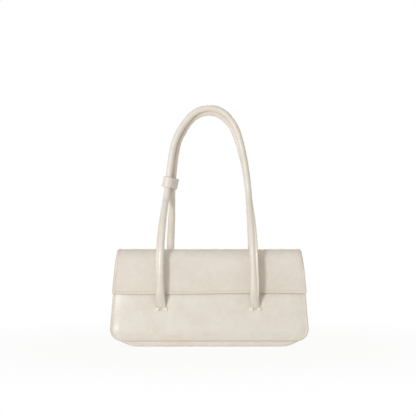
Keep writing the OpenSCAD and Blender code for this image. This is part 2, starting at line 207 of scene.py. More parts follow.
@dataclass(frozen=True)
class WaxedCalf(Finish):
    """Chrome-tanned calf, drum-dyed cream, finished with wax and polished by hand.

    The dye takes unevenly, so the eye sees soft clouds a thumb wide and fainter flecks. The wax
    gives a low, broad gloss that breaks up where the hide was stretched, over fine flat pores.
    Cut edges carry the slightly darker paint that the attribute "edge" marks.
    """

    name: str
    tone: str = "E1DBD1"
    cloud_tone: str = "DBD4C9"
    pale_tone: str = "E9E4DB"
    edge_tone: str = "C6B9A5"
    cloud_mm: float = 34.0
    fleck_mm: float = 7.0
    crease_mm: float = 11.0
    pore_mm: float = 1.3
    roughness: float = 0.43
    uneven: float = 0.07
    gloss: float = 0.12

    def look(self, tree: Tree, place: Socket) -> dict[str, float | Socket]:
        """Mix the dye's clouds and flecks, then lay creases and pores over them.

        Args:
            tree: The material's tree.
            place: The object's own coordinates.

        Returns:
            The shader's inputs.
        """
        cloud = noise(tree, place, self.cloud_mm, Detail=3.0, Roughness=0.55, Distortion=0.4)
        fleck = noise(tree, place, self.fleck_mm, Detail=4.0, Roughness=0.6)
        crease = noise(tree, place, self.crease_mm, Detail=5.0, Roughness=0.62, Distortion=0.8)
        pore = add_node(tree, "ShaderNodeTexVoronoi", {
            "Vector": place, "Scale": 1 / (self.pore_mm * MM)}, feature="SMOOTH_F1")
        dyed = mixed(tree, spread(tree, cloud, 0.36, 0.64), self.cloud_tone, self.tone)
        waxed = mixed(tree, spread(tree, fleck, 0.45, 0.75, to_high=0.45), dyed, self.pale_tone)
        edge = add_node(tree, "ShaderNodeAttribute", attribute_name="edge").outputs["Fac"]
        polish = spread(tree, cloud, 0.3, 0.7, self.roughness + self.uneven,
                        self.roughness - self.uneven)
        grained = bump(tree, pore.outputs["Distance"], 0.12, 0.25,
                       Normal=bump(tree, crease, 0.22, 1.2))
        return {"Base Color": mixed(tree, edge, waxed, self.edge_tone), "Roughness": polish,
                "Normal": grained, "Coat Weight": self.gloss, "Coat Roughness": 0.28, "IOR": 1.46}


@dataclass(frozen=True)
class Flecked(Finish):
    """A matt material that wavers between two tones, with a fine relief where it has one."""

    name: str
    tone: str
    second_tone: str
    fleck_mm: float
    roughness: float
    detail: float = 2.0
    harshness: float = 0.5
    relief: float = 0.0
    relief_mm: float = 0.0

    def look(self, tree: Tree, place: Socket) -> dict[str, float | Socket]:
        """Fleck the first tone with the second.

        Args:
            tree: The material's tree.
            place: The object's own coordinates.

        Returns:
            The shader's inputs.
        """
        fleck = noise(tree, place, self.fleck_mm, Detail=self.detail, Roughness=self.harshness)
        inputs = {"Base Color": mixed(tree, fleck, self.tone, self.second_tone),
                  "Roughness": self.roughness}
        if self.relief:
            inputs["Normal"] = bump(tree, fleck, self.relief, self.relief_mm)
        return inputs


@dataclass(frozen=True)
class CottonTwill(Finish):
    """Cotton twill, woven and calendered: fine slanting ribs, matt, with a slub here and there.

    The real ribs are about 0.5 mm apart, too fine to show, so they are drawn at rib_mm.
    """

    name: str = "cotton_twill_woven"
    tone: str = "CDBFA6"
    rib_tone: str = "BBAC91"
    rib_mm: float = 1.2
    slub_mm: float = 14.0
    slant_deg: Triple = (35.0, 42.0, 0.0)

    def look(self, tree: Tree, place: Socket) -> dict[str, float | Socket]:
        """Draw the ribs aslant over the slubs.

        Args:
            tree: The material's tree.
            place: The object's own coordinates.

        Returns:
            The shader's inputs.
        """
        turn = tuple(math.radians(a) for a in self.slant_deg)
        rib = waves(tree, place, self.rib_mm, {"Rotation": turn},
                    {"Distortion": 0.6, "Detail": 2.0}, bands_direction="X")
        slub = noise(tree, place, self.slub_mm, Detail=4.0)
        woven = mixed(tree, rib, self.rib_tone, self.tone)
        return {"Base Color": mixed(tree, slub, woven, self.tone),
                "Normal": bump(tree, rib, 0.35, 0.3), "Roughness": 0.85, "Sheen Weight": 0.15}


@dataclass(frozen=True)
class PlatedSteel(Finish):
    """Steel, pressed and nickel-plated: a cool soft mirror with faint turned rings."""

    name: str = "steel_nickel_plated"
    tone: str = "C9C8C6"
    stain_tone: str = "BDBBB7"
    ring_mm: float = 0.7
    stain_mm: float = 6.0

    def look(self, tree: Tree, place: Socket) -> dict[str, float | Socket]:
        """Blur the plating along the press's rings, which are centred on the magnets.

        Args:
            tree: The material's tree.
            place: The object's own coordinates.

        Returns:
            The shader's inputs.
        """
        ring = waves(tree, place, self.ring_mm, {"Location": (0, 0, -MagnetPlace().z * MM)}, {},
                     wave_type="RINGS", rings_direction="Y")
        stain = noise(tree, place, self.stain_mm)
        return {"Base Color": mixed(tree, stain, self.tone, self.stain_tone),
                "Roughness": spread(tree, ring, 0.0, 1.0, 0.24, 0.36), "Metallic": 1.0}


@dataclass(frozen=True)
class TwistedCord(Finish):
    """Cotton filler cord, laid up from plies: off-white, matt, with slanting ply shadows."""

    name: str = "cotton_cord_laid"
    tone: str = "DAD2C2"
    ply_tone: str = "B9AF9B"
    ply_mm: float = 2.6
    slant_deg: float = 35.0

    def look(self, tree: Tree, place: Socket) -> dict[str, float | Socket]:
        """Shade between the plies.

        Args:
            tree: The material's tree.
            place: The object's own coordinates.

        Returns:
            The shader's inputs.
        """
        ply = waves(tree, place, self.ply_mm, {"Rotation": (0, math.radians(self.slant_deg), 0)},
                    {"Distortion": 1.0}, bands_direction="Z")
        return {"Base Color": mixed(tree, ply, self.ply_tone, self.tone),
                "Normal": bump(tree, ply, 0.5, 0.5), "Roughness": 0.85}


BODY_CALF = WaxedCalf("calf_body_waxed")
# The gusset's calf is toned paler than the body's: painted light that brightens the shaded base
# strip below the front panel
GUSSET_CALF_PAINTED_LIGHT = WaxedCalf("calf_gusset_painted_light", tone="EDE7DD", cloud_tone="E7E0D5", pale_tone="F2EDE5")
FLAP_CALF = WaxedCalf("calf_flap_waxed", tone="DED7CD", cloud_tone="D8D0C5", pale_tone="E5DED5")
HANDLE_CALF = WaxedCalf("calf_handle_rolled", tone="E4DDD2", cloud_tone="DED6CA",
                        pale_tone="EAE4DB", cloud_mm=22.0, roughness=0.4)
# Acrylic edge paint, brushed on in coats and burnished: a smooth line, a little worn in stretches
PAINTED_EDGE = Flecked("edge_paint_burnished", "DDD4C6", "D3C8B7", 9.0, 0.36, detail=3.0,
                       relief=0.25, relief_mm=0.4)
# Bonded polyester thread, twisted and waxed: pale beads with a faint twist across each stitch
THREAD = Flecked("bonded_thread_twisted", "F0EADD", "DCD2C0", 0.45, 0.5)
# The same thread toned paler, laid side by side: painted light that offsets the shade falling
# between its strands
TACK_THREAD_PAINTED_LIGHT = Flecked("bonded_thread_bar_tack_painted_light", "FAF6EE", "F0E9DC", 0.45, 0.5)
# The hole that a needle leaves between two stitches: a bead of painted shade, in a darker tint of
# the leather's own colour
NEEDLE_HOLE_SHADE = Flecked("needle_hole_painted_shade", "BFB19C", "B3A48D", 5.0, 0.7)
# Leatherboard, pulped and pressed: a dull brown-grey felt with short fibres
BOARD = Flecked("leatherboard_pressed", "A3937C", "8B7B65", 2.5, 0.9, detail=6.0, harshness=0.7,
                relief=0.3, relief_mm=0.3)
TWILL = CottonTwill()
STEEL = PlatedSteel()
CORD = TwistedCord()


# ---- Mesh helpers; every length here is in millimetres

# Points nearer to each other than the first are made one, and edges under the second are dropped
WELD_D = 0.004
SLIVER_D = 0.002
# Height from which the flare of the lower seams fades, and the length over which it does
LIP_Z = 12.0
LIP_RUN = 50.0
# A length in metres that no seam has, for a trim that only cuts the start
PAST_ANY_SEAM_M = 1000.0


def smooth(value: Array | float) -> Array | float:
    """Ease from 0 at 0 to 1 at 1, level at both ends."""
    c = np.clip(value, 0, 1)
    return c * c * (3 - 2 * c)


def edge_fall(distance: Array | float, radius: float) -> Array | float:
    """How far a rounded edge of that radius falls back at a distance from the rim."""
    near = np.clip(radius - distance, 0, radius)
    return radius - np.sqrt(radius ** 2 - near ** 2)


def ridge(value: Array | float, centre: float, width: float) -> Array | float:
    """A soft ridge of height 1 at centre that is about 2 widths across."""
    return np.exp(-((value - centre) / width) ** 2)


def squared(value: Array, power: float) -> Array:
    """A sine or cosine raised to a power with its sign kept, which squares or rounds a section."""
    return np.sign(value) * np.abs(value) ** power


def xyz(x: Array, y: Array | float, z: Array) -> Array:
    """Points from their three coordinates."""
    return np.stack(np.broadcast_arrays(x, y, z), -1)


def headings(path: Array) -> Array:
    """Unit way of a path at each of its points."""
    ways = np.gradient(path, axis=0)
    return ways / np.linalg.norm(ways, axis=1)[:, None]


def run_along(path: Array) -> Array:
    """Distance along a path from its start to each of its points."""
    return np.concatenate([[0], np.cumsum(np.linalg.norm(np.diff(path, axis=0), axis=1))])


def lip_share(z: Array | float) -> Array | float:
    """How much the seams flare at a height: fully along the base, and not at all at the mouth."""
    return 1 - smooth((z - LIP_Z) / LIP_RUN)


def hide_wave(x: Array, z: Array, phase: float, length: float = 80.0) -> Array:
    """Slow waves of a hide that isn't quite flat, between about -1 and 1.

    Args:
        x: Places across.
        z: Places up.
        phase: Tells one piece's waves from another's.
        length: Length of the longest wave.

    Returns:
        Height of the waves at each place.
    """
    turn = 2 * math.pi / length
    return (0.45 * np.sin(turn * (x + 0.6 * z) + phase)
            + 0.32 * np.sin(turn * (1.7 * x - 1.3 * z) + 2.1 * phase + 1)
            + 0.23 * np.sin(turn * (2.9 * x + 2.3 * z) + 3.7 * phase + 2))


def lattice(rows: int, columns: int, around: bool = False) -> list[tuple[int, ...]]:
    """Quads of a lattice of points that are listed row by row.

    Args:
        rows: Number of rows.
        columns: Number of points in a row.
        around: Whether each row closes on itself.

    Returns:
        The faces as point numbers.
    """
    j, i = np.meshgrid(np.arange(rows - 1), np.arange(columns if around else columns - 1),
                       indexing="ij")
    k = (i + 1) % columns
    a, b, c, d = j * columns + i, j * columns + k, (j + 1) * columns + k, (j + 1) * columns + i
    return list(map(tuple, np.stack([a, b, c, d], -1).reshape(-1, 4).tolist()))


@dataclass
class Shape:
    """Points and faces of a piece in the making, with how far each point is painted as an edge."""

    points: Array
    faces: list[tuple[int, ...]]
    edge: Array | None = None

    def joined(self, other: "Shape") -> "Shape":
        """This shape and another one as a single shape.

        Args:
            other: The shape to add.

        Returns:
            The joined shape, with this one's points first.
        """
        count = len(self.points)
        faces = self.faces + [tuple(i + count for i in f) for f in other.faces]
        edges = [s.edge if s.edge is not None else np.zeros(len(s.points)) for s in (self, other)]
        return Shape(np.vstack([self.points, other.points]), faces, np.concatenate(edges))


def ring_shape(rings: Sequence[Array], caps: bool = False, closed: bool = False,
               edge: Sequence[Array] | None = None) -> Shape:
    """Loft a skin through rings of equally many points.

    Args:
        rings: The rings in order.
        caps: Whether a flat face closes each end.
        closed: Whether the last ring joins the first, as in a band.
        edge: Painted share of each point, ring by ring.

    Returns:
        The skin as a shape.
    """
    count, size = len(rings), len(rings[0])
    faces = lattice(count, size, around=True)
    if closed:
        last = (count - 1) * size
        faces += [(last + i, last + (i + 1) % size, (i + 1) % size, i) for i in range(size)]
    if caps:
        faces += [tuple(range(size)), tuple(range((count - 1) * size, count * size))]
    return Shape(np.vstack(rings), faces, None if edge is None else np.concatenate(edge))


def grid_shape(outer: Array, inner: Array, edge: Array | None = None) -> Shape:
    """Close an outer and an inner lattice of equal size into one thin solid.

    Args:
        outer: Points of the outer face, rows by columns by 3.
        inner: Points of the inner face.
        edge: Painted share of the points, rows by columns, the same for both faces.

    Returns:
        The solid as a shape.
    """
    rows, columns = outer.shape[:2]
    count = rows * columns
    faces = lattice(rows, columns)
    faces += [tuple(i + count for i in f) for f in faces]
    rim = ([(0, i) for i in range(columns)] + [(j, columns - 1) for j in range(1, rows)]
           + [(rows - 1, i) for i in range(columns - 2, -1, -1)]
           + [(j, 0) for j in range(rows - 2, 0, -1)])
    numbers = [j * columns + i for j, i in rim]
    faces += [(a, b, b + count, a + count) for a, b in zip(numbers, numbers[1:] + numbers[:1])]
    painted = None if edge is None else np.concatenate([edge.ravel(), edge.ravel()])
    return Shape(np.vstack([outer.reshape(-1, 3), inner.reshape(-1, 3)]), faces, painted)


def make_piece(name: str, shape: Shape, finish: Finish, sharp: float = 50.0) -> bpy.types.Object:
    """Turn a shape into a Blender object with smooth shading and outward faces.

    Args:
        name: Name of the piece.
        shape: Its points, in millimetres, and faces.
        finish: Its material.
        sharp: Angle in degrees above which an edge stays sharp.

    Returns:
        The object, at the origin.
    """
    mesh = bpy.data.meshes.new(name)
    mesh.from_pydata((shape.points * MM).tolist(), [], shape.faces)
    if shape.edge is not None:
        mesh.attributes.new("edge", "FLOAT", "POINT").data.foreach_set(
            "value", shape.edge.astype(np.float32))
    solid = bmesh.new()
    solid.from_mesh(mesh)
    bmesh.ops.remove_doubles(solid, verts=solid.verts, dist=WELD_D * MM)
    bmesh.ops.dissolve_degenerate(solid, edges=solid.edges, dist=SLIVER_D * MM)
    bmesh.ops.recalc_face_normals(solid, faces=solid.faces)
    solid.to_mesh(mesh)
    solid.free()
    mesh.shade_smooth()
    mesh.set_sharp_from_angle(angle=math.radians(sharp))
    mesh.materials.append(finish.material())
    LOG.info("%s: %d faces, %s", name, len(mesh.polygons), finish.name)
    return linked(name, mesh)


def fit(piece: bpy.types.Object, slot: str, *nodes: str, body: str = "bag") -> bpy.types.Object:
    """Let a piece ride on a body, in place of the CAD nodes named.

    Args:
        piece: The piece.
        slot: Not used.
        *nodes: CAD nodes that the piece stands for, if any.
        body: CAD body that carries it.

    Returns:
        The piece.
    """
    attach(piece, body)
    if nodes:
        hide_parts(*nodes)
    return piece


# ---- Stitches


@dataclass(frozen=True)
class SeamLine:
    """A line to sew along: its points, and which way the surface faces at each."""

    points: Array
    facing: Array

    @staticmethod
    def flat(points: Array, facing: Sequence[float]) -> "SeamLine":
        """A line on a surface that faces one way."""
        return SeamLine(points, np.tile(np.array(facing, float), (len(points), 1)))


@dataclass(frozen=True)
class Sewing:
    """Stitch sizes of a sewing job, in millimetres."""

    pitch: float = 3.9
    stitch_l: float = 3.0
    thread_d: float = 0.85
    hole_d: float = 1.0
    slant: float = 9.0
    seed: int = 7

    def sew(self, name: str, lines: Sequence[SeamLine]) -> bpy.types.Object:
        """Sew rows of stitches along lines and leave them as one plain mesh.

        Args:
            name: Name of the piece.
            lines: Where to sew.

        Returns:
            The stitches as an object at the origin.
        """
        guide = linked(name + "_guide", self.guide_mesh(name, lines))
        modifier = guide.modifiers.new("sewing", "NODES")
        modifier.node_group = bpy.data.node_groups.get("sewn_row") or self.tree()
        values = {"Pitch": self.pitch * MM, "Stitch length": self.stitch_l * MM,
                  "Thread diameter": self.thread_d * MM, "Hole diameter": self.hole_d * MM,
                  "Slant": math.radians(self.slant), "Seed": self.seed,
                  "Thread": THREAD.material(), "Hole": NEEDLE_HOLE_SHADE.material()}
        for item in modifier.node_group.interface.items_tree:
            if item.name in values:
                modifier[item.identifier] = values[item.name]
        graph = bpy.context.evaluated_depsgraph_get()
        mesh = bpy.data.meshes.new_from_object(guide.evaluated_get(graph), depsgraph=graph)
        guide.modifiers.remove(modifier)
        bpy.data.objects.remove(guide)
        mesh.name = name
        LOG.info("%s: %d faces, stitches %.1f mm apart", name, len(mesh.polygons), self.pitch)
        return linked(name, mesh)

    @staticmethod
    def guide_mesh(name: str, lines: Sequence[SeamLine]) -> bpy.types.Mesh:
        """A mesh of bare edges for the tree to follow, with the facing on its points.

        Args:
            name: Name of the piece in the making.
            lines: Where to sew.

        Returns:
            The mesh.
        """
        points, edges, start = [], [], 0
        for line in lines:
            points.append(line.points)
            edges += [(start + i, start + i + 1) for i in range(len(line.points) - 1)]
            start += len(line.points)
        mesh = bpy.data.meshes.new(name + "_guide")
        mesh.from_pydata((np.vstack(points) * MM).tolist(), edges, [])
        facing = np.vstack([line.facing for line in lines]).astype(np.float32)
        mesh.attributes.new("facing", "FLOAT_VECTOR", "POINT").data.foreach_set(
            "vector", facing.ravel())
        return mesh

    @staticmethod
    def tree() -> Tree:
        """Geometry tree that lays a stitch at each pitch, and between two a needle hole as a bead
        of painted shade.

        Returns:
            The tree, whose inputs are the sizes and the two materials.
        """
        tree = bpy.data.node_groups.new("sewn_row", "GeometryNodeTree")
        face = tree.interface
        face.new_socket("Geometry", in_out="INPUT", socket_type="NodeSocketGeometry")
        for label in ("Pitch", "Stitch length", "Thread diameter", "Hole diameter", "Slant"):
            face.new_socket(label, in_out="INPUT", socket_type="NodeSocketFloat")
        face.new_socket("Seed", in_out="INPUT", socket_type="NodeSocketInt")
        for label in ("Thread", "Hole"):
            face.new_socket(label, in_out="INPUT", socket_type="NodeSocketMaterial")
        face.new_socket("Geometry", in_out="OUTPUT", socket_type="NodeSocketGeometry")
        given = add_node(tree, "NodeGroupInput").outputs
        line = add_node(tree, "GeometryNodeMeshToCurve", {"Mesh": given["Geometry"]})
        half = worked(tree, "MULTIPLY", given["Pitch"], 0.5)
        shifted = add_node(tree, "GeometryNodeTrimCurve", {
            "Curve": line.outputs[0], 4: half, 5: PAST_ANY_SEAM_M}, mode="LENGTH")
        facing = add_node(tree, "GeometryNodeInputNamedAttribute", {"Name": "facing"},
                          data_type="FLOAT_VECTOR")
        along = add_node(tree, "GeometryNodeInputTangent")
        lie = add_node(tree, "FunctionNodeAxesToRotation", {
            "Primary Axis": facing.outputs[0], "Secondary Axis": along.outputs[0]},
            primary_axis="Z", secondary_axis="X")
        slack = add_node(tree, "FunctionNodeRandomValue", {
            2: 0.4, 3: 1.0, "Seed": given["Seed"]}, data_type="FLOAT")
        slant = worked(tree, "MULTIPLY", given["Slant"], slack.outputs[1])
        turn = add_node(tree, "FunctionNodeAxisAngleToRotation", {
            "Axis": (0, 0, 1), "Angle": slant})
        laid = add_node(tree, "FunctionNodeRotateRotation", {
            "Rotation": lie.outputs[0], "Rotate By": turn.outputs[0]}, rotation_space="LOCAL")
        bead = add_node(tree, "GeometryNodeMeshUVSphere", {
            "Segments": 8, "Rings": 6, "Radius": 0.5})
        rows = []
        for curve, length, width, deep, paint in (
                (line, "Stitch length", "Thread diameter", 0.8, "Thread"),
                # The second row is the needle holes: flat beads of painted shade
                (shifted, "Hole diameter", "Hole diameter", 0.25, "Hole")):
            scale = add_node(tree, "ShaderNodeCombineXYZ", {
                0: given[length], 1: given[width],
                2: worked(tree, "MULTIPLY", given[width], deep)})
            spaced = add_node(tree, "GeometryNodeResampleCurve", {
                "Curve": curve.outputs[0], "Length": given["Pitch"]}, mode="LENGTH")
            beads = add_node(tree, "GeometryNodeInstanceOnPoints", {
                "Points": spaced.outputs[0], "Instance": bead.outputs[0],
                "Rotation": laid.outputs[0], "Scale": scale.outputs[0]})
            real = add_node(tree, "GeometryNodeRealizeInstances", {0: beads.outputs[0]})
            rows.append(add_node(tree, "GeometryNodeSetMaterial", {
                "Geometry": real.outputs[0], "Material": given[paint]}))
        both = add_node(tree, "GeometryNodeJoinGeometry")
        for row in reversed(rows):
            tree.links.new(row.outputs[0], both.inputs[0])
        soft = add_node(tree, "GeometryNodeSetShadeSmooth", {0: both.outputs[0]})
        add_node(tree, "NodeGroupOutput", {0: soft.outputs[0]})
        return tree


# ---- Shared sizes of the bag, as in the CAD source


class Side(Enum):
    """Which wall of the bag a piece is on; the value is the sign of its Y."""

    FRONT = -1
    BACK = 1

    @property
    def word(self) -> str:
        """Front or back, for names."""
        return self.name.lower()


@dataclass(frozen=True)
class MagnetPlace:
    """Where the closure's magnets sit, and how far round them the leather is pressed flat."""

    z: float = 90.0
    flat_r: float = 13.0


@dataclass(frozen=True)
class BagSize:
    """Overall sizes of the bag's body."""

    width: float = 279.0
    top_width: float = 259.5
    height: float = 138.0
    half_depth: float = 30.0
    edge_z: float = 8.7
    corner_r: float = 17.0
    panel_t: float = 2.2
    lining_t: float = 0.8
    board_t: float = 1.0
    seam_inset: float = 3.5
    inner_inset: float = 5.8

    @property
    def wide_z(self) -> float:
        """Height at which the bag is widest."""
        return self.edge_z + self.corner_r

    @property
    def slope(self) -> float:
        """How much the bag narrows on each side for each millimetre up."""
        return (self.width - self.top_width) / 2 / (self.height - self.wide_z)

    def half_at(self, z: Array | float) -> Array | float:
        """Half of the panels' width at a height, with the sides drawn straight to the base."""
        return self.width / 2 - self.slope * (z - self.wide_z)


BAG = BagSize()
GUSSET_T = 2.0
# Height of the middle of the handles' flattened ends
TAB_Z = 60.0


Shares = tuple[Triple, ...]
# Both ends of both handles rise alike: shares of the rise, and of the way out to the bulge
END_COURSE = ((0, 0), (0.0145, 0), (0.05, 0.72), (0.1, 0.905), (0.19, 1), (0.26, 1), (0.32, 0.96),
              (0.375, 0.84), (0.425, 0.645), (0.48, 0.4), (0.525, 0.175), (0.565, 0.045), (0.61, 0),
              (0.69, 0))


def handle_shares(left: Sequence[float], top: Sequence[Pair],
                  right: Sequence[float]) -> Shares:
    """Centre line of a handle in shares of its sizes, from its left end to its right one.

    Args:
        left: Places across of the left end, from below.
        top: Places across and up between the ends.
        right: Places across of the right end, from below.

    Returns:
        Shares across, up and out at each knot.
    """
    return (*((x, *course) for x, course in zip(left, END_COURSE)), *((x, up, 0) for x, up in top),
            *((x, *course) for x, course in zip(right[::-1], END_COURSE[::-1])))


FRONT_SHARES = handle_shares(
    (-1.02, -1.023, -1.034, -1.037, -1.032, -1.025, -1.016, -1.001, -0.985, -0.9635, -0.942,
     -0.918, -0.8935, -0.854),
    ((-0.8035, 0.777), (-0.737, 0.838), (-0.647, 0.884), (-0.5185, 0.93), (-0.379, 0.967),
     (-0.212, 0.991), (0, 1), (0.197, 0.993), (0.364, 0.969), (0.5, 0.931), (0.604, 0.884),
     (0.675, 0.83), (0.735, 0.77)),
    (0.975, 0.973, 0.965, 0.955, 0.94, 0.925, 0.914, 0.904, 0.892, 0.876, 0.862, 0.85, 0.835,
     0.794))
BACK_SHARES = handle_shares(
    (-0.856, -0.856, -0.8555, -0.855, -0.853, -0.849, -0.842, -0.832, -0.822, -0.812, -0.806,
     -0.802, -0.796, -0.765),
    ((-0.717, 0.777), (-0.654, 0.838), (-0.546, 0.8885), (-0.4, 0.9376), (-0.215, 0.97), (0, 0.98),
     (0.21, 0.9685), (0.396, 0.9345), (0.523, 0.8915), (0.624, 0.83), (0.698, 0.77)),
    (0.945, 0.945, 0.944, 0.942, 0.938, 0.932, 0.924, 0.913, 0.9, 0.882, 0.866, 0.852, 0.83, 0.778))


@dataclass(frozen=True)
class Outline:
    """A convex outline of rounded corners, drawn in X and Z, that can be drawn in evenly.

    Each corner is (x, z, radius), counter-clockwise from the top left. Points are spaced by step.
    """

    corners: tuple[Triple, ...]
    step: float = 2.6
    arc_points: int = 15

    def straights(self) -> tuple[Array, Array, Array]:
        """Corner, way and length of each side, as if its corners were sharp.

        Returns:
            Its start, its unit way and its length, for each side.
        """
        at = np.array([c[:2] for c in self.corners], float)
        way = np.roll(at, -1, 0) - at
        lengths = np.linalg.norm(way, axis=1)
        return at, way / lengths[:, None], lengths

    def ring(self, inset: float) -> Array:
        """Points of the outline, drawn in by inset, the same number at any inset.

        Args:
            inset: Distance that the outline is drawn in.

        Returns:
            The points, counter-clockwise from the top of the left side.
        """
        at, way, lengths = self.straights()
        inward = np.stack([-way[:, 1], way[:, 0]], 1)
        arcs = []
        for i, (_, _, radius) in enumerate(self.corners):
            before, after = way[i - 1], way[i]
            turn = math.atan2(before[0] * after[1] - before[1] * after[0], float(before @ after))
            corner = at[i] + inset * (inward[i - 1] + inward[i]) / (1 + float(before @ after))
            r = max(radius - inset, 0.2)
            centre = corner + r * (inward[i - 1] + inward[i]) / (1 + float(before @ after))
            start = math.atan2(-inward[i - 1][1], -inward[i - 1][0])
            angles = start + turn * np.linspace(0, 1, self.arc_points)
            arcs.append(centre + r * np.stack([np.cos(angles), np.sin(angles)], 1))
        points = []
        for i, arc in enumerate(arcs):
            count = max(2, round(lengths[i] / self.step))
            share = np.linspace(0, 1, count + 1)[1:-1, None]
            points += [arc, arc[-1] + (arcs[(i + 1) % len(arcs)][0] - arc[-1]) * share]
        return np.vstack(points)

    def depth(self, places: Array) -> Array:
        """Distance of places inside the outline from its nearest straight side.

        Args:
            places: The places, across and up.

        Returns:
            Distance of each.
        """
        at, way, _ = self.straights()
        across = places[:, None] - at
        return (across[..., 1] * way[:, 0] - across[..., 0] * way[:, 1]).min(1)

    def below_mouth(self, inset: float) -> Array:
        """The part of a ring from the top left down, along the base and up to the top right.

        Args:
            inset: Distance that the ring is drawn in.

        Returns:
            Its points.
        """
        ring = self.ring(inset)
        width = math.dist(self.corners[-1][:2], self.corners[0][:2])
        top = max(2, round(width / self.step)) - 1
        return ring[self.arc_points - 1: len(ring) - top - self.arc_points + 1]


Face = Callable[[Array, Array, Array], tuple[Array, Array]]
# Distances from a plate's rim at which it has rings: close at the rounded edge and the seam
BORDER = (0, 0.08, 0.25, 0.5, 0.8, 1.2, 1.7, 2.2, 2.6, 2.95, 3.3, 3.65, 4.0, 4.5, 5.3, 6.5, 8.2,
          10.5, 13.5)


def plate(outline: Outline, face: Face, step: float = 3.6, borders: Sequence[float] = BORDER,
          paint_w: float = 0.9) -> Shape:
    """Cut a plate along an outline, with rounded rims and whatever relief its face has.

    The border is made of rings that follow the cut. What is left inside them is filled with rows.

    Args:
        outline: The cut.
        face: Gives the Y of both faces at places x, z and a distance from the rim.
        step: Distance between the rows.
        borders: Distances from the rim at which the border has rings.
        paint_w: Width of the rim that is painted.

    Returns:
        The plate, closed.
    """
    outer, inner, painted = [], [], []
    for d in borders:
        flat = outline.ring(d)
        y_out, y_in = face(flat[:, 0], flat[:, 1], np.full(len(flat), float(d)))
        outer.append(xyz(flat[:, 0], y_out, flat[:, 1]))
        inner.append(xyz(flat[:, 0], y_in, flat[:, 1]))
        painted.append(np.full(len(flat), 1 - float(smooth((d - paint_w) / 0.5))))
    shape = ring_shape(outer[::-1] + inner, edge=painted[::-1] + painted)
    size = len(outer[0])
    last = 2 * len(borders) - 1
    for first, side in ((0, 0), (last * size, 1)):
        filled = filling(shape.points[first:first + size, ::2], step)
        inside = filled.points[size:]
        y = face(inside[:, 0], inside[:, 1], outline.depth(inside))[side]
        points = xyz(inside[:, 0], y, inside[:, 1])
        start = len(shape.points)
        number = [*range(first, first + size), *range(start, start + len(points))]
        shape.faces += [tuple(number[i] for i in f) for f in filled.faces]
        shape.points = np.vstack([shape.points, points])
        shape.edge = np.concatenate([shape.edge, np.zeros(len(points))])
    return shape


def filling(ring: Array, step: float) -> Shape:
    """Fill a flat ring with triangles on an even lattice of points.

    Args:
        ring: Points of the ring, across and up.
        step: Distance between the lattice's points.

    Returns:
        The ring's points, then the lattice's, and the faces between them.
    """
    count = len(ring)
    low, high = ring.min(0) + step * 0.6, ring.max(0) - step * 0.6
    columns = [np.linspace(a, b, max(2, round((b - a) / step))) for a, b in zip(low, high)]
    x, z = (v.ravel() for v in np.meshgrid(*columns))
    way = np.roll(ring, -1, 0) - ring
    way /= np.maximum(np.linalg.norm(way, axis=1), 1e-6)[:, None]
    rim = ((x[:, None] - ring[:, 0]) * -way[:, 1] + (z[:, None] - ring[:, 1]) * way[:, 0]).min(1)
    inside = rim > step * 0.55
    points = np.vstack([ring, np.stack([x[inside], z[inside]], 1)])
    edges = [(i, (i + 1) % count) for i in range(count)]
    made = delaunay_2d_cdt([Vector(p) for p in points.tolist()], edges, [], 1, 1e-6)
    origin = [min(where) for where in made[3]]
    return Shape(points, [tuple(origin[i] for i in f) for f in made[2]])


# ---- The two walls


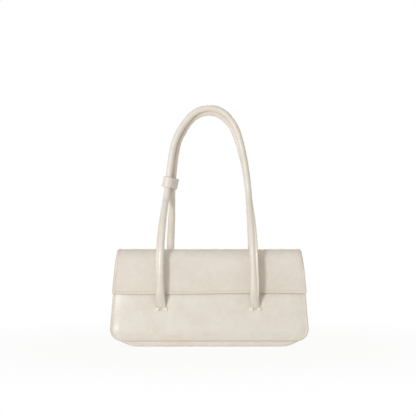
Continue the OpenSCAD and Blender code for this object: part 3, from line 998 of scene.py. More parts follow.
@dataclass
class Wall:
    """A wall of the bag: panel, painted seam edge, facing, lining and their stitches.

    Attributes:
        side: Front or back.
        mouth_z: Height of the panel's top edge.
        tabs: Middle of each handle end on this wall, across and up.
        crown: How far the panel swells out between its edges.
        puff: How far its filler lifts it just inside the stitches.
        shoulder: How much fuller the panel is above its middle.
        lip: How far the turned seam flares out along the base.
        covered: How much the closure calms the fullness, and the height from which it does.
        prints: Height and strength of each ridge that the anchor patch prints through the front.
        tab_press: How much a handle's end presses the fullness flat, within tab_r of its middle.
        layer_gap: Gap between the facing and the mouth, and between the facing and the lining.
        slack: How loosely the lining hangs, and slack_wave how much that varies.

    A name that ends in _run is the distance in from the rim over which a form rises, and one that
    ends in _fade the length over which it comes or goes.
    """

    side: Side
    mouth_z: float
    tabs: tuple[Pair, ...]
    crown: float = 0.7
    puff: float = 1.9
    shoulder: float = 0.9
    lip: float = 0.8
    covered: Pair = (0.85, 72.0)
    prints: tuple[Pair, ...] = ((45.8, 1.0), (40.2, 0.8))
    # How the prints, the fullness and the lip rise and fade
    print_h: float = 0.16
    print_w: float = 0.9
    print_half: float = 11.5
    print_fade: float = 2.5
    puff_from: float = 2.6
    puff_run: float = 10.0
    puff_z: float = 44.0
    puff_fade: float = 24.0
    puff_least: float = 0.25
    shoulder_z: float = 40.0
    shoulder_fade: float = 30.0
    shoulder_run: float = 14.0
    crown_run: float = 26.0
    lip_run: float = 8.0
    cover_fade: float = 10.0
    tab_press: float = 0.9
    tab_share: float = 0.7
    tab_r: float = 15.0
    wave: float = 0.28
    # The sewn border and its painted edge
    groove: float = 0.32
    groove_w: float = 0.55
    edge_r: float = 0.6
    stitch_d: float = 3.3
    thread_lift: float = 0.12
    mouth_row_gap: float = 3.0
    paint_half_w: float = 0.62
    paint_in: float = 0.34
    # The facing and the lining below it
    facing_h: float = 20.0
    facing_t: float = 1.6
    facing_r: float = 1.5
    facing_stitch_d: float = 2.95
    facing_groove: float = 0.25
    layer_gap: float = 0.3
    slack: float = 0.25
    slack_wave: float = 0.35

    def outline(self, inset: float = 0.0, low: float | None = None, top: float | None = None,
                r_low: float | None = None, r_top: float = 2.0) -> Outline:
        """Outline of the wall or of a layer of it.

        Args:
            inset: How far it is drawn in at the sides.
            low: Height of its lower edge, or the panel's own.
            top: Height of its upper edge, or the panel's own.
            r_low: Radius of the lower corners, or the panel's own.
            r_top: Radius of the upper corners.

        Returns:
            The outline.
        """
        low = BAG.edge_z + inset if low is None else low
        top = self.mouth_z if top is None else top
        r_low = BAG.corner_r - inset if r_low is None else r_low
        wide, narrow = BAG.half_at(low) - inset, BAG.half_at(top) - inset
        return Outline(((-narrow, top, r_top), (-wide, low, r_low), (wide, low, r_low),
                        (narrow, top, r_top)))

    def swell(self, x: Array, z: Array, d: Array) -> Array:
        """How far the panel's outer face stands out from its flat at each place.

        Args:
            x: Places across.
            z: Places up.
            d: Their distances from the rim.

        Returns:
            The swelling at each place.
        """
        pressed = np.ones_like(x)
        for tab_x, tab_z in self.tabs:
            away = np.hypot(x - tab_x, (z - tab_z) * self.tab_share)
            pressed *= 1 - self.tab_press * ridge(away, 0, self.tab_r)
        calm, calm_z = self.covered
        closed = 1 - calm * smooth((z - calm_z) / self.cover_fade)
        low = self.puff_least + (1 - self.puff_least) * smooth((self.puff_z - z) / self.puff_fade)
        puff = self.puff * smooth((d - self.puff_from) / self.puff_run) * low
        high = smooth((z - self.shoulder_z) / self.shoulder_fade)
        full = self.shoulder * high * smooth(d / self.shoulder_run)
        crown = self.crown + self.wave * hide_wave(x, z, 1.3 + self.mouth_z)
        body = closed * (puff + full + smooth(d / self.crown_run) * crown)
        flare = self.lip * (1 - smooth(d / self.lip_run)) * lip_share(z)
        return body * pressed + flare

    def panel_face(self, x: Array, z: Array, d: Array) -> tuple[Array, Array]:
        """Y of the panel's outer and inner face.

        Args:
            x: Places across.
            z: Places up.
            d: Their distances from the rim.

        Returns:
            Y of the outer face and of the inner face.
        """
        out = self.swell(x, z, d)
        sewn = self.groove * ridge(d, self.stitch_d, self.groove_w)
        raised = np.zeros_like(x)
        if self.side is Side.FRONT:
            for tab_x, _ in self.tabs:
                across = smooth((self.print_half - np.abs(x - tab_x)) / self.print_fade)
                rows = sum(share * ridge(z, row_z, self.print_w) for row_z, share in self.prints)
                raised += self.print_h * across * rows
        outer = BAG.half_depth + out - edge_fall(d, self.edge_r) - sewn + raised
        inner = BAG.half_depth - BAG.panel_t + out
        return self.side.value * outer, self.side.value * inner

    def on_panel(self, flat: Array, d: float, proud: float = 0.0) -> Array:
        """Points on the panel's outer face, at a distance from its rim."""
        y, _ = self.panel_face(flat[:, 0], flat[:, 1], np.full(len(flat), d))
        return xyz(flat[:, 0], y + self.side.value * proud, flat[:, 1])

    def build(self) -> None:
        """Make the wall's pieces and let them ride on the bag."""
        self.build_panel()
        self.build_edge()
        self.build_facing()
        self.build_lining()

    def build_panel(self) -> None:
        """Cut the panel, and sew round it and along its mouth."""
        panel = plate(self.outline(), self.panel_face)
        fit(make_piece(f"{self.side.word}_panel_leather", panel, BODY_CALF), "body_leather",
            f"{self.side.word}_panel")
        mouth_z = self.mouth_z - self.stitch_d
        half = BAG.half_at(mouth_z) - self.stitch_d - self.mouth_row_gap
        top = np.stack([np.linspace(-half, half, 90), np.full(90, mouth_z)], 1)
        lines = [SeamLine.flat(self.on_panel(row, self.stitch_d, self.thread_lift),
                               (0, self.side.value, 0))
                 for row in (self.outline().below_mouth(self.stitch_d), top)]
        fit(Sewing().sew(f"{self.side.word}_panel_stitches", lines), "body_leather")

    def build_edge(self) -> None:
        """Paint the edge that the panel and the gusset's flange share."""
        path = self.outline().below_mouth(0)
        along = headings(path)
        flare = self.swell(path[:, 0], path[:, 1], np.zeros(len(path)))
        turn = np.linspace(0, 2 * math.pi, 20, endpoint=False)
        half_t = (BAG.panel_t + GUSSET_T) / 2
        reach = squared(np.cos(turn), 0.7) * self.paint_half_w - self.paint_in
        deep = squared(np.sin(turn), 0.55) * (half_t - 0.05)
        rings = [xyz(x + nx * reach, self.side.value * (BAG.half_depth - half_t + lift + deep),
                     z - nz * reach)
                 for (x, z), (nz, nx), lift in zip(path, along, flare)]
        paint = ring_shape(rings, caps=True)
        fit(make_piece(f"{self.side.word}_seam_edge_paint", paint, PAINTED_EDGE), "body_leather")

    def build_facing(self) -> None:
        """Line the mouth with its leather facing."""
        cut = self.outline(BAG.inner_inset, self.mouth_z - self.facing_h,
                           self.mouth_z - self.layer_gap, self.facing_r, self.facing_r)
        base = BAG.half_depth - BAG.panel_t

        def face(x: Array, z: Array, d: Array) -> tuple[Array, Array]:
            """Y of the facing's two faces.

            Args:
                x: Places across.
                z: Places up.
                d: Their distances from the rim.

            Returns:
                Y of the shown face and of the hidden one.
            """
            sewn = self.facing_groove * ridge(d, self.facing_stitch_d, 0.5)
            inside = base - self.facing_t + edge_fall(d, 0.5) + sewn
            inside -= 0.15 * hide_wave(x, z, 2.2, 60) * smooth(d / 5)
            return self.side.value * inside, self.side.value * (base - edge_fall(d, 0.2))

        facing = plate(cut, face, 3.0, BORDER[:-4])
        fit(make_piece(f"{self.side.word}_facing_leather", facing, BODY_CALF), "body_leather",
            f"{self.side.word}_facing")
        row = cut.ring(self.facing_stitch_d)
        row = np.vstack([row, row[:1]])
        y = self.side.value * (base - self.facing_t - 0.02)
        line = SeamLine.flat(xyz(row[:, 0], y, row[:, 1]), (0, -self.side.value, 0))
        fit(Sewing(pitch=3.6).sew(f"{self.side.word}_facing_stitches", [line]), "body_leather")

    def build_lining(self) -> None:
        """Hang the twill lining below the facing, a little loose between its seams."""
        cut = self.outline(BAG.inner_inset, top=self.mouth_z - self.facing_h - self.layer_gap)
        base = BAG.half_depth - BAG.panel_t - BAG.board_t

        def face(x: Array, z: Array, d: Array) -> tuple[Array, Array]:
            """Y of the lining's two faces.

            Args:
                x: Places across.
                z: Places up.
                d: Their distances from the rim.

            Returns:
                Y of the shown face and of the hidden one.
            """
            waves_h = self.slack_wave * hide_wave(x, z * 0.4, 0.9 + self.mouth_z, 46)
            loose = smooth(d / 12) * (self.slack + waves_h)
            shown = base - BAG.lining_t - np.maximum(loose, 0)
            return self.side.value * shown, self.side.value * (shown + BAG.lining_t)

        shape = plate(cut, face, 3.0, BORDER[:1] + BORDER[4:])
        lining = fit(make_piece(f"{self.side.word}_lining_twill", shape, TWILL), "lining",
                     f"{self.side.word}_lining")
        ring = cut.ring(0)


# ---- The gusset and what lines the bag


@dataclass
class Gusset:
    """The strip that joins the two walls round the ends and the sagging base, with its lining."""

    top_z: float = 124.0
    end_belly: float = 1.8
    top_share: float = 0.1
    base_belly: float = 12.2
    lining_belly: float = 10.4
    flat_half: float = 98.0
    ramp: float = 32.0
    level_y: float = 20.5
    turn_y: float = 24.8
    lining_half: float = 26.0
    lining_level: float = 14.5
    # The flare of the seams, the hide's and the twill's waves, and how squarely each part turns
    lip: float = 0.8
    lip_y: float = 18.0
    lip_fade: float = 8.0
    ease: float = 0.35
    ease_l: float = 70.0
    slack: float = 0.5
    slack_l: float = 44.0
    base_share: float = 1.6
    sag_power: float = 2.2
    hollow_power: float = 2.6
    # Sections of the flange's outer and inner face: distance from the seam's edge, and Y
    flange: tuple[Pair, ...] = ((0.25, 25.9), (1.2, 25.85), (2.1, 25.7), (2.8, 25.35),
                                (3.25, 24.95))
    flange_inside: tuple[Pair, ...] = ((5.3, 25.9), (4.7, 26.9), (3.6, 27.6), (2.4, 27.78),
                                       (0.25, 27.78))

    def stations(self, top_z: float) -> tuple[Array, Array]:
        """Points down one end, along the base and up the other, with the way inwards at each.

        Args:
            top_z: Height of both ends.

        Returns:
            The points, and the ways, in X and Z.
        """
        narrow, wide = BAG.half_at(top_z), BAG.half_at(BAG.edge_z)
        path = Outline(((-narrow, top_z, 1.0), (-wide, BAG.edge_z, BAG.corner_r),
                        (wide, BAG.edge_z, BAG.corner_r), (narrow, top_z, 1.0))).below_mouth(0)
        along = headings(path)
        return path, np.stack([-along[:, 1], along[:, 0]], 1)

    def belly(self, path: Array, base: float) -> Array:
        """How far the strip bulges out at each station.

        Args:
            path: The stations.
            base: Bulge in the middle of the base.

        Returns:
            The bulge at each.
        """
        fade = smooth((self.top_z - path[:, 1]) / BAG.corner_r)
        ends = self.end_belly * (self.top_share + (1 - self.top_share) * fade)
        low = smooth((BAG.wide_z - path[:, 1]) / BAG.corner_r * self.base_share)
        along = np.clip((self.flat_half + self.ramp - np.abs(path[:, 0])) / self.ramp, 0, 1)
        sag = 1 - (1 - along) ** self.sag_power
        return ends + (base - self.end_belly) * sag * low

    @staticmethod
    def places(level: float, turn: float, middle: int) -> Array:
        """Places across the strip, close together where it turns from its base into a seam.

        Args:
            level: Distance from the middle up to which it is level.
            turn: Distance at which the turn ends.
            middle: Number of places on the level part.

        Returns:
            The places, from the front to the back.
        """
        turned = np.linspace(level, turn, 12)[1:]
        return np.concatenate([-turned[::-1], np.linspace(-level, level, middle), turned])

    def hollow(self, y: Array, level: float, turn: float) -> Array:
        """Share of the bulge at places across the strip: 1 in the middle, 0 at its seams."""
        turned = np.clip((np.abs(y) - level) / (turn - level), 0, 1)
        return 1 - turned ** self.hollow_power

    def build(self) -> None:
        """Make the strip and its lining."""
        self.build_leather()
        self.build_lining()

    def build_leather(self) -> None:
        """Loft the leather, with a flange turned out along each wall."""
        path, inward = self.stations(self.top_z)
        belly = self.belly(path, self.base_belly)
        across = self.places(self.level_y, self.turn_y, 9)
        share = self.hollow(across, self.level_y, self.turn_y)
        skin = [(BAG.seam_inset, at, part, 1) for at, part in zip(across, share)]
        under = [(d + GUSSET_T, at, part, 1) for d, at, part, _ in skin[::-1]]
        base, y, swing, front = np.array(
            [(d, -at, 0, 0) for d, at in self.flange] + skin
            + [(d, at, 0, 0) for d, at in (self.flange_inside + self.flange)[::-1]] + under
            + [(d, -at, 0, 0) for d, at in self.flange_inside]).T
        rings, painted = [], []
        for (x, z), (nx, nz), b, s in zip(path, inward, belly, run_along(path)):
            ease = self.ease * np.abs(hide_wave(np.full_like(y, s), y, 0.4, self.ease_l))
            ease = ease * front * swing
            depth = base - b * swing + ease
            lip = self.lip * lip_share(z) * np.sign(y) * smooth(
                (np.abs(y) - self.lip_y) / self.lip_fade)
            rings.append(xyz(x + nx * depth, y + lip, z + nz * depth))
            rim = (base < 0.5) | (abs(z - self.top_z) < 0.9)
            painted.append(rim.astype(float))
        # Its paler calf is painted light for the shaded base strip
        fit(make_piece("gusset_leather", ring_shape(rings, caps=True, edge=painted), GUSSET_CALF_PAINTED_LIGHT),
            "body_leather", "gusset")

    def build_lining(self) -> None:
        """Hang the twill inside the strip and over the base board."""
        path, inward = self.stations(self.top_z - 2 * GUSSET_T)
        belly = self.belly(path, self.lining_belly)
        half, level = self.lining_half, self.lining_level
        across = self.places(level, half, 13)
        share = self.hollow(across, level, half)
        run = run_along(path)
        rings, shown = [], []
        for (x, z), (nx, nz), b, s in zip(path, inward, belly, run):
            fold = hide_wave(np.full_like(across, s), across * 0.5, 3.1, self.slack_l)
            loose = np.maximum(fold, 0) * self.slack
            under = BAG.inner_inset - b * share
            over = under + BAG.lining_t + loose * smooth((half - np.abs(across)) / 6)
            low, high = (xyz(x + nx * d, across, z + nz * d) for d in (under, over))
            rings.append(np.vstack([low, high[::-1]]))
            shown.append(high)
        lining = fit(make_piece("gusset_lining_twill", ring_shape(rings, caps=True), TWILL),
                     "lining", "gusset_lining")


@dataclass
class SlipPocket:
    """A flat pocket of twill, sewn to the back lining on three sides and open at the top."""

    half_w: float = 65.0
    low_z: float = 30.0
    high_z: float = 102.0
    gap: float = 5.0
    turn: float = 5.0
    fold_h: float = 0.4
    fold_l: float = 52.0
    fold_run: float = 14.0
    hem_t: float = 0.5
    hem_h: float = 8.5
    # Drop below the hem, and how far the thread stands out, for each of the hem's rows
    hem_rows: tuple[Pair, ...] = ((1.6, 0.55), (8.6, 0.1))
    rim_d: tuple[float, ...] = (0, 0.3, 0.8, 1.5, 2.4, 3.4, 4.5, 6)

    def face(self, x: Array, z: Array) -> Array:
        """Y of the pocket's shown face.

        Args:
            x: Places across.
            z: Places up.

        Returns:
            Y at each place.
        """
        rim = np.minimum(self.half_w - np.abs(x), z - self.low_z)
        near = 1 - np.clip(rim / self.turn, 0, 1)
        lining_y = BAG.half_depth - BAG.panel_t - BAG.board_t - BAG.lining_t
        stand = (self.gap + BAG.lining_t) * np.sqrt(np.maximum(1 - near ** 2, 0))
        fold = self.fold_h * hide_wave(x, z * 0.3, 5.2, self.fold_l)
        fold = fold * smooth(rim / self.fold_run)
        return lining_y - stand + np.maximum(fold, -0.1)

    def build(self) -> None:
        """Make the pocket with its hem and the hem's rows of stitches."""
        rim, inside = np.array(self.rim_d), self.half_w - self.rim_d[-1]
        xs = np.concatenate([rim - self.half_w, np.linspace(-inside, inside, 44)[1:-1],
                             (self.half_w - rim)[::-1]])
        middle = np.linspace(self.low_z + self.rim_d[-1], self.high_z - 3, 24)[1:]
        zs = np.concatenate([self.low_z + rim, middle, self.high_z - np.array([2, 1, 0.4, 0])])
        x, z = np.meshgrid(xs, zs)
        shown = self.face(x, z)
        hem = self.hem_t * smooth((z - self.high_z + self.hem_h) / 0.8)
        outer = xyz(x, shown - hem, z)
        shape = grid_shape(outer, xyz(x, shown + BAG.lining_t, z))
        pocket = fit(make_piece("slip_pocket_twill", shape, TWILL), "lining", "slip_pocket")
        hem_x = np.linspace(-self.half_w + 5, self.half_w - 5, 60)
        lines = []
        for drop, proud in self.hem_rows:
            hem_z = np.full(60, self.high_z - drop)
            row = xyz(hem_x, self.face(hem_x, hem_z) - proud, hem_z)
            lines.append(SeamLine.flat(row, (0, -1, 0)))
        sewing = Sewing(pitch=3.0, stitch_l=2.3, thread_d=0.6, hole_d=0.6)
        fit(sewing.sew("slip_pocket_stitches", lines), "lining")


# ---- The flap


@dataclass
class Flap:
    """The flap: one hide from the back panel, over the top and down the front, with its lining.

    It is made in two pieces that meet on the top.
    """

    top_half: float = 130.0
    edge_z: float = 75.0
    overhang: float = 1.4
    leather_t: float = 1.5
    board_t: float = 0.7
    root_z: float = 98.95
    back_y: float = 31.5
    front_y: float = -36.5
    back_r: float = 4.0
    front_r: float = 16.0
    fold_z: float = 133.5
    bulge: float = 1.1
    hem_curl: float = 1.7
    back_dip: float = 2.0
    corner_r: float = 3.0
    stitch_d: float = 3.7
    split_y: float = -2.0
    wave: float = 0.3
    # The seam's groove, the droop of the sides, and how the reliefs rise and fade
    groove: float = 0.34
    groove_w: float = 0.55
    droop: float = 1.0
    droop_r: float = 4.2
    hem_droop: float = 0.8
    hem_droop_l: float = 150.0
    bulge_w: float = 24.0
    curl_run: float = 17.0
    front_run: float = 14.0
    press: float = 0.9
    wave_run: float = 12.0
    dip_run: float = 20.0
    narrowing: float = 0.85
    paint_w: float = 0.8
    paint_fade: float = 0.45
    # Distances between the mesh's rows on the root, the top, the front and the folds
    row_gaps: tuple[float, float, float, float] = (2.5, 3.0, 2.2, 0.7)
    lining_inset: float = 0.9
    # Where the hide starts and ends its bend at each hinge, as Y and Z; the build lists them and
    # bends nothing
    back_bend: tuple[Pair, ...] = ((31.5, 131.3), (27.0, 137.4))
    front_bend: tuple[Pair, ...] = ((-21.5, 138.0), (-37.0, 122.5))
    border: tuple[float, ...] = (0, 0.1, 0.28, 0.5, 0.8, 1.2, 1.8, 2.5, 3.0, 3.35, 3.7, 4.05, 4.4,
                                 5, 6, 7.5, 9.5, 12, 15.5)
    magnet: MagnetPlace = field(default_factory=MagnetPlace)

    @property
    def marks(self) -> tuple[float, float, float, float, float]:
        """Distances from the root's lower edge to each change of the flap's course.

        Returns:
            The ends of the root, the back fold, the top, the front fold and the front.
        """
        up = BAG.height - self.back_r - self.root_z
        round_back = up + self.back_r * math.pi / 2
        over = round_back + self.back_y - self.back_r - (self.front_y + self.front_r)
        round_front = over + self.front_r * math.pi / 2
        end = round_front + BAG.height - self.front_r - self.edge_z
        return up, round_back, over, round_front, end

    @property
    def split(self) -> float:
        """Distance at which the two pieces meet."""
        return self.marks[1] + self.back_y - self.back_r - self.split_y

    def course(self, s: Array) -> tuple[Array, Array, Array, Array]:
        """The flap's course from its root over the top and down the front.

        Args:
            s: Distances from the root's edge.

        Returns:
            Y and Z of the outer face, and Y and Z of the way outwards, at each distance.
        """
        up, round_back, over, round_front, _ = self.marks
        a = np.clip((s - up) / self.back_r, 0, math.pi / 2)
        b = np.clip((s - over) / self.front_r, 0, math.pi / 2)
        back_c, front_c = self.back_y - self.back_r, self.front_y + self.front_r
        on_back, on_front = s < round_back, s > over
        level = np.where(on_back, 0, np.clip(s, round_back, over) - round_back)
        y = np.where(on_back, back_c + self.back_r * np.cos(a), back_c - level)
        z = np.where(on_back, BAG.height - self.back_r + self.back_r * np.sin(a), BAG.height)
        z = np.where(s < up, self.root_z + s, z)
        y = np.where(on_front, front_c - self.front_r * np.sin(b), y)
        z = np.where(on_front, BAG.height - self.front_r + self.front_r * np.cos(b), z)
        z = np.where(s > round_front, BAG.height - self.front_r - (s - round_front), z)
        ny = np.where(on_back, np.cos(a), np.where(on_front, -np.sin(b), 0))
        nz = np.where(on_back, np.sin(a), np.where(on_front, np.cos(b), 1))
        return y, z, ny, nz

    def half_at(self, s: Array) -> Array:
        """Half of the flap's width at distances from the root's edge.

        Args:
            s: The distances.

        Returns:
            Half of the width at each.
        """
        _, z, _, _ = self.course(s)
        low = BAG.half_at(self.edge_z) + self.overhang
        down = np.clip((self.fold_z - z) / (self.fold_z - self.edge_z), 0, 1)
        down = np.where(s > self.marks[2], down ** self.narrowing, 0)
        half = self.top_half + (low - self.top_half) * down
        return half - edge_fall(self.marks[4] - s, self.corner_r)

    def rim(self, x: Array, s: Array) -> tuple[Array, Array]:
        """Distance of places from the flap's sides, and from any of its edges."""
        side = self.half_at(s) - np.abs(x)
        return side, np.minimum(np.minimum(side, self.marks[4] - s), s)

    def place(self, x: Array, s: Array, depth: Array) -> Array:
        """Points of the flap.

        Args:
            x: Places across.
            s: Distances from the root's edge.
            depth: How far below the outer face.

        Returns:
            The points, with the sides' droop at the top and the hide's slow waves.
        """
        side, rim = self.rim(x, s)
        y, z, ny, nz = self.course(s)
        up, _, over, round_front, end = self.marks
        top = smooth((s - up + 2) / 5) * (1 - smooth((s - round_front) / self.front_run))
        sink = depth + self.droop * edge_fall(np.maximum(side, 0), self.droop_r) * top
        front = smooth((s - over) / self.front_run)
        away = np.hypot(x, z - self.magnet.z)
        pressed = 1 - self.press * ridge(away, 0, self.magnet.flat_r) * front
        wave = self.wave * hide_wave(x, s, 0.7) * smooth(rim / self.wave_run)
        sink = sink - wave * front * pressed
        sink = sink - self.bulge * ridge(s, round_front, self.bulge_w)
        curl = self.hem_curl * (1 - smooth((end - s) / self.curl_run))
        sink = sink + curl * (1 - smooth(1 - (s - over) / 5))
        lower = smooth((s - round_front) / (end - round_front))
        sag = self.hem_droop * np.sin(math.pi * x / self.hem_droop_l) * lower
        sag = sag - self.back_dip * smooth((over + 6 - s) / self.dip_run) * smooth(s / up)
        return xyz(x, y - ny * sink, z - nz * sink + sag)

    def columns(self, s: Array, inset: float) -> Array:
        """Places across for each row: close together at the sides, wider between.

        Args:
            s: Distances of the rows.
            inset: Distance of the first and last place from the sides.

        Returns:
            The places, row by row.
        """
        half = (self.half_at(s) - inset)[:, None]
        border = np.array(self.border)
        last = border[-1]
        share = np.linspace(-1, 1, 62)[1:-1]
        return np.concatenate([border - half, (half - last) * share, (half - border)[:, ::-1]], 1)

    def rows(self, start: float, end: float) -> Array:
        """Distances of the rows from start to end, close together at edges and folds.

        Args:
            start: Distance of the first row.
            end: Distance of the last row.

        Returns:
            The distances.
        """
        up, round_back, over, round_front, last = self.marks
        border = np.array(self.border)
        on_root, on_top, on_front, on_folds = self.row_gaps
        every = np.concatenate([
            border, np.arange(border[-1], up - 4, on_root),
            np.arange(up - 4, round_back + 4, on_folds),
            np.arange(round_back + 4, over - 4, on_top),
            np.arange(over - 4, round_front + 5, on_folds),
            np.arange(round_front + 5, last - border[-1], on_front), last - border[::-1]])
        kept = every[(every > start + 0.3) & (every < end - 0.3)]
        return np.concatenate([[start], kept, [end]])

    def leather(self, start: float, end: float) -> Shape:
        """The hide from one row to another, with rounded, painted edges and the seam's groove.

        Args:
            start: Distance of the first row.
            end: Distance of the last row.

        Returns:
            The hide.
        """
        s = self.rows(start, end)
        x = self.columns(s, 0)
        s = np.repeat(s[:, None], x.shape[1], 1)
        _, rim = self.rim(x, s)
        fall = edge_fall(rim, self.leather_t / 2)
        sewn = self.groove * ridge(rim, self.stitch_d, self.groove_w)
        return grid_shape(self.place(x, s, fall + sewn), self.place(x, s, self.leather_t - fall),
                          1 - smooth((rim - self.paint_w) / self.paint_fade))

    def lining(self, name: str, start: float, end: float) -> bpy.types.Object:
        """The twill under the hide, pressed to it along the hem.

        Args:
            name: Name of the piece.
            start: Distance of its first row.
            end: Distance of its last row.

        Returns:
            The piece.
        """
        rows = self.rows(start, end)
        x = self.columns(rows, self.lining_inset)
        s = np.repeat(rows[:, None], x.shape[1], 1)
        _, rim = self.rim(x, s)
        front = smooth((s - self.marks[3] - 1) / 6)
        deep = self.leather_t + self.board_t * front * smooth((rim - 1.2) / 4.5)
        shape = grid_shape(self.place(x, s, deep + 0.02), self.place(x, s, deep + BAG.lining_t))
        cloth = make_piece(name, shape, TWILL)
        widths = 2 * (self.half_at(np.linspace(start, end, 60)) - self.lining_inset)
        return cloth

    def row(self, inset: float, start: float, end: float) -> SeamLine:
        """A stitch line down one side, across the edge and up the other side.

        Args:
            inset: Distance of the line from the edges.
            start: Row at which it starts and ends, on the top.
            end: Row of the edge that it goes round.

        Returns:
            The line.
        """
        turn = end - inset if end > start else end + inset
        down = np.linspace(start, turn, 60)
        sides = self.half_at(down) - inset
        across = np.linspace(-sides[-1], sides[-1], 110)[1:-1]
        x = np.concatenate([-sides, across, sides[::-1]])
        s = np.concatenate([down, np.full(len(across), turn), down[::-1]])
        _, _, ny, nz = self.course(s)
        return SeamLine(self.place(x, s, np.full(len(x), -0.02)), xyz(np.zeros(len(x)), ny, nz))

    def build(self) -> None:
        """Make the hide, its lining and its stitches."""
        end = self.marks[4]
        back = ("bag", "flap_upper", *((0, y * MM, z * MM) for y, z in self.back_bend))
        front = ("flap_upper", "flap_lower", *((0, y * MM, z * MM) for y, z in self.front_bend))
        hinge_s = self.marks[0] - 1.0
        made = (
            (make_piece("flap_back_leather", self.leather(0, self.split), FLAP_CALF), back,
             ("flap_root", "flap_top"), "flap_leather"),
            (make_piece("flap_front_leather", self.leather(self.split, end), FLAP_CALF), front,
             ("flap_front",), "flap_leather"),
            (self.lining("flap_back_lining_twill", hinge_s, self.split), back,
             ("flap_top_lining",), "lining"),
            (self.lining("flap_front_lining_twill", self.split, end - self.lining_inset), front,
             ("flap_front_lining",), "lining"),
            (Sewing().sew("flap_back_stitches", [self.row(self.stitch_d, self.split, 0)]), back,
             (), "flap_leather"),
            (Sewing().sew("flap_front_stitches", [self.row(self.stitch_d, self.split, end)]), front,
             (), "flap_leather"))
        for piece, bend, nodes, slot in made:
            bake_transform(piece)
            if nodes:
                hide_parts(*nodes)


# ---- Handles and keeper


@dataclass(frozen=True)
class Strand:
    """A handle's centre line and its section along it, point by point, as if on the front.

    Attributes:
        line: The points.
        inward: Way to the loop's inside.
        back: Way backwards.
        half_w: Half width.
        half_t: Half thickness.
        run: Distance from the left end.
        tip: Distance from the nearer end.
    """

    line: Array
    inward: Array
    back: Array
    half_w: Array
    half_t: Array
    run: Array
    tip: Array

    def at(self, i: int, across: Array | float, behind: Array | float) -> Array:
        """Places beside point i, from their distances inwards and backwards."""
        return self.line[i] + self.inward[i] * across + self.back[i] * behind


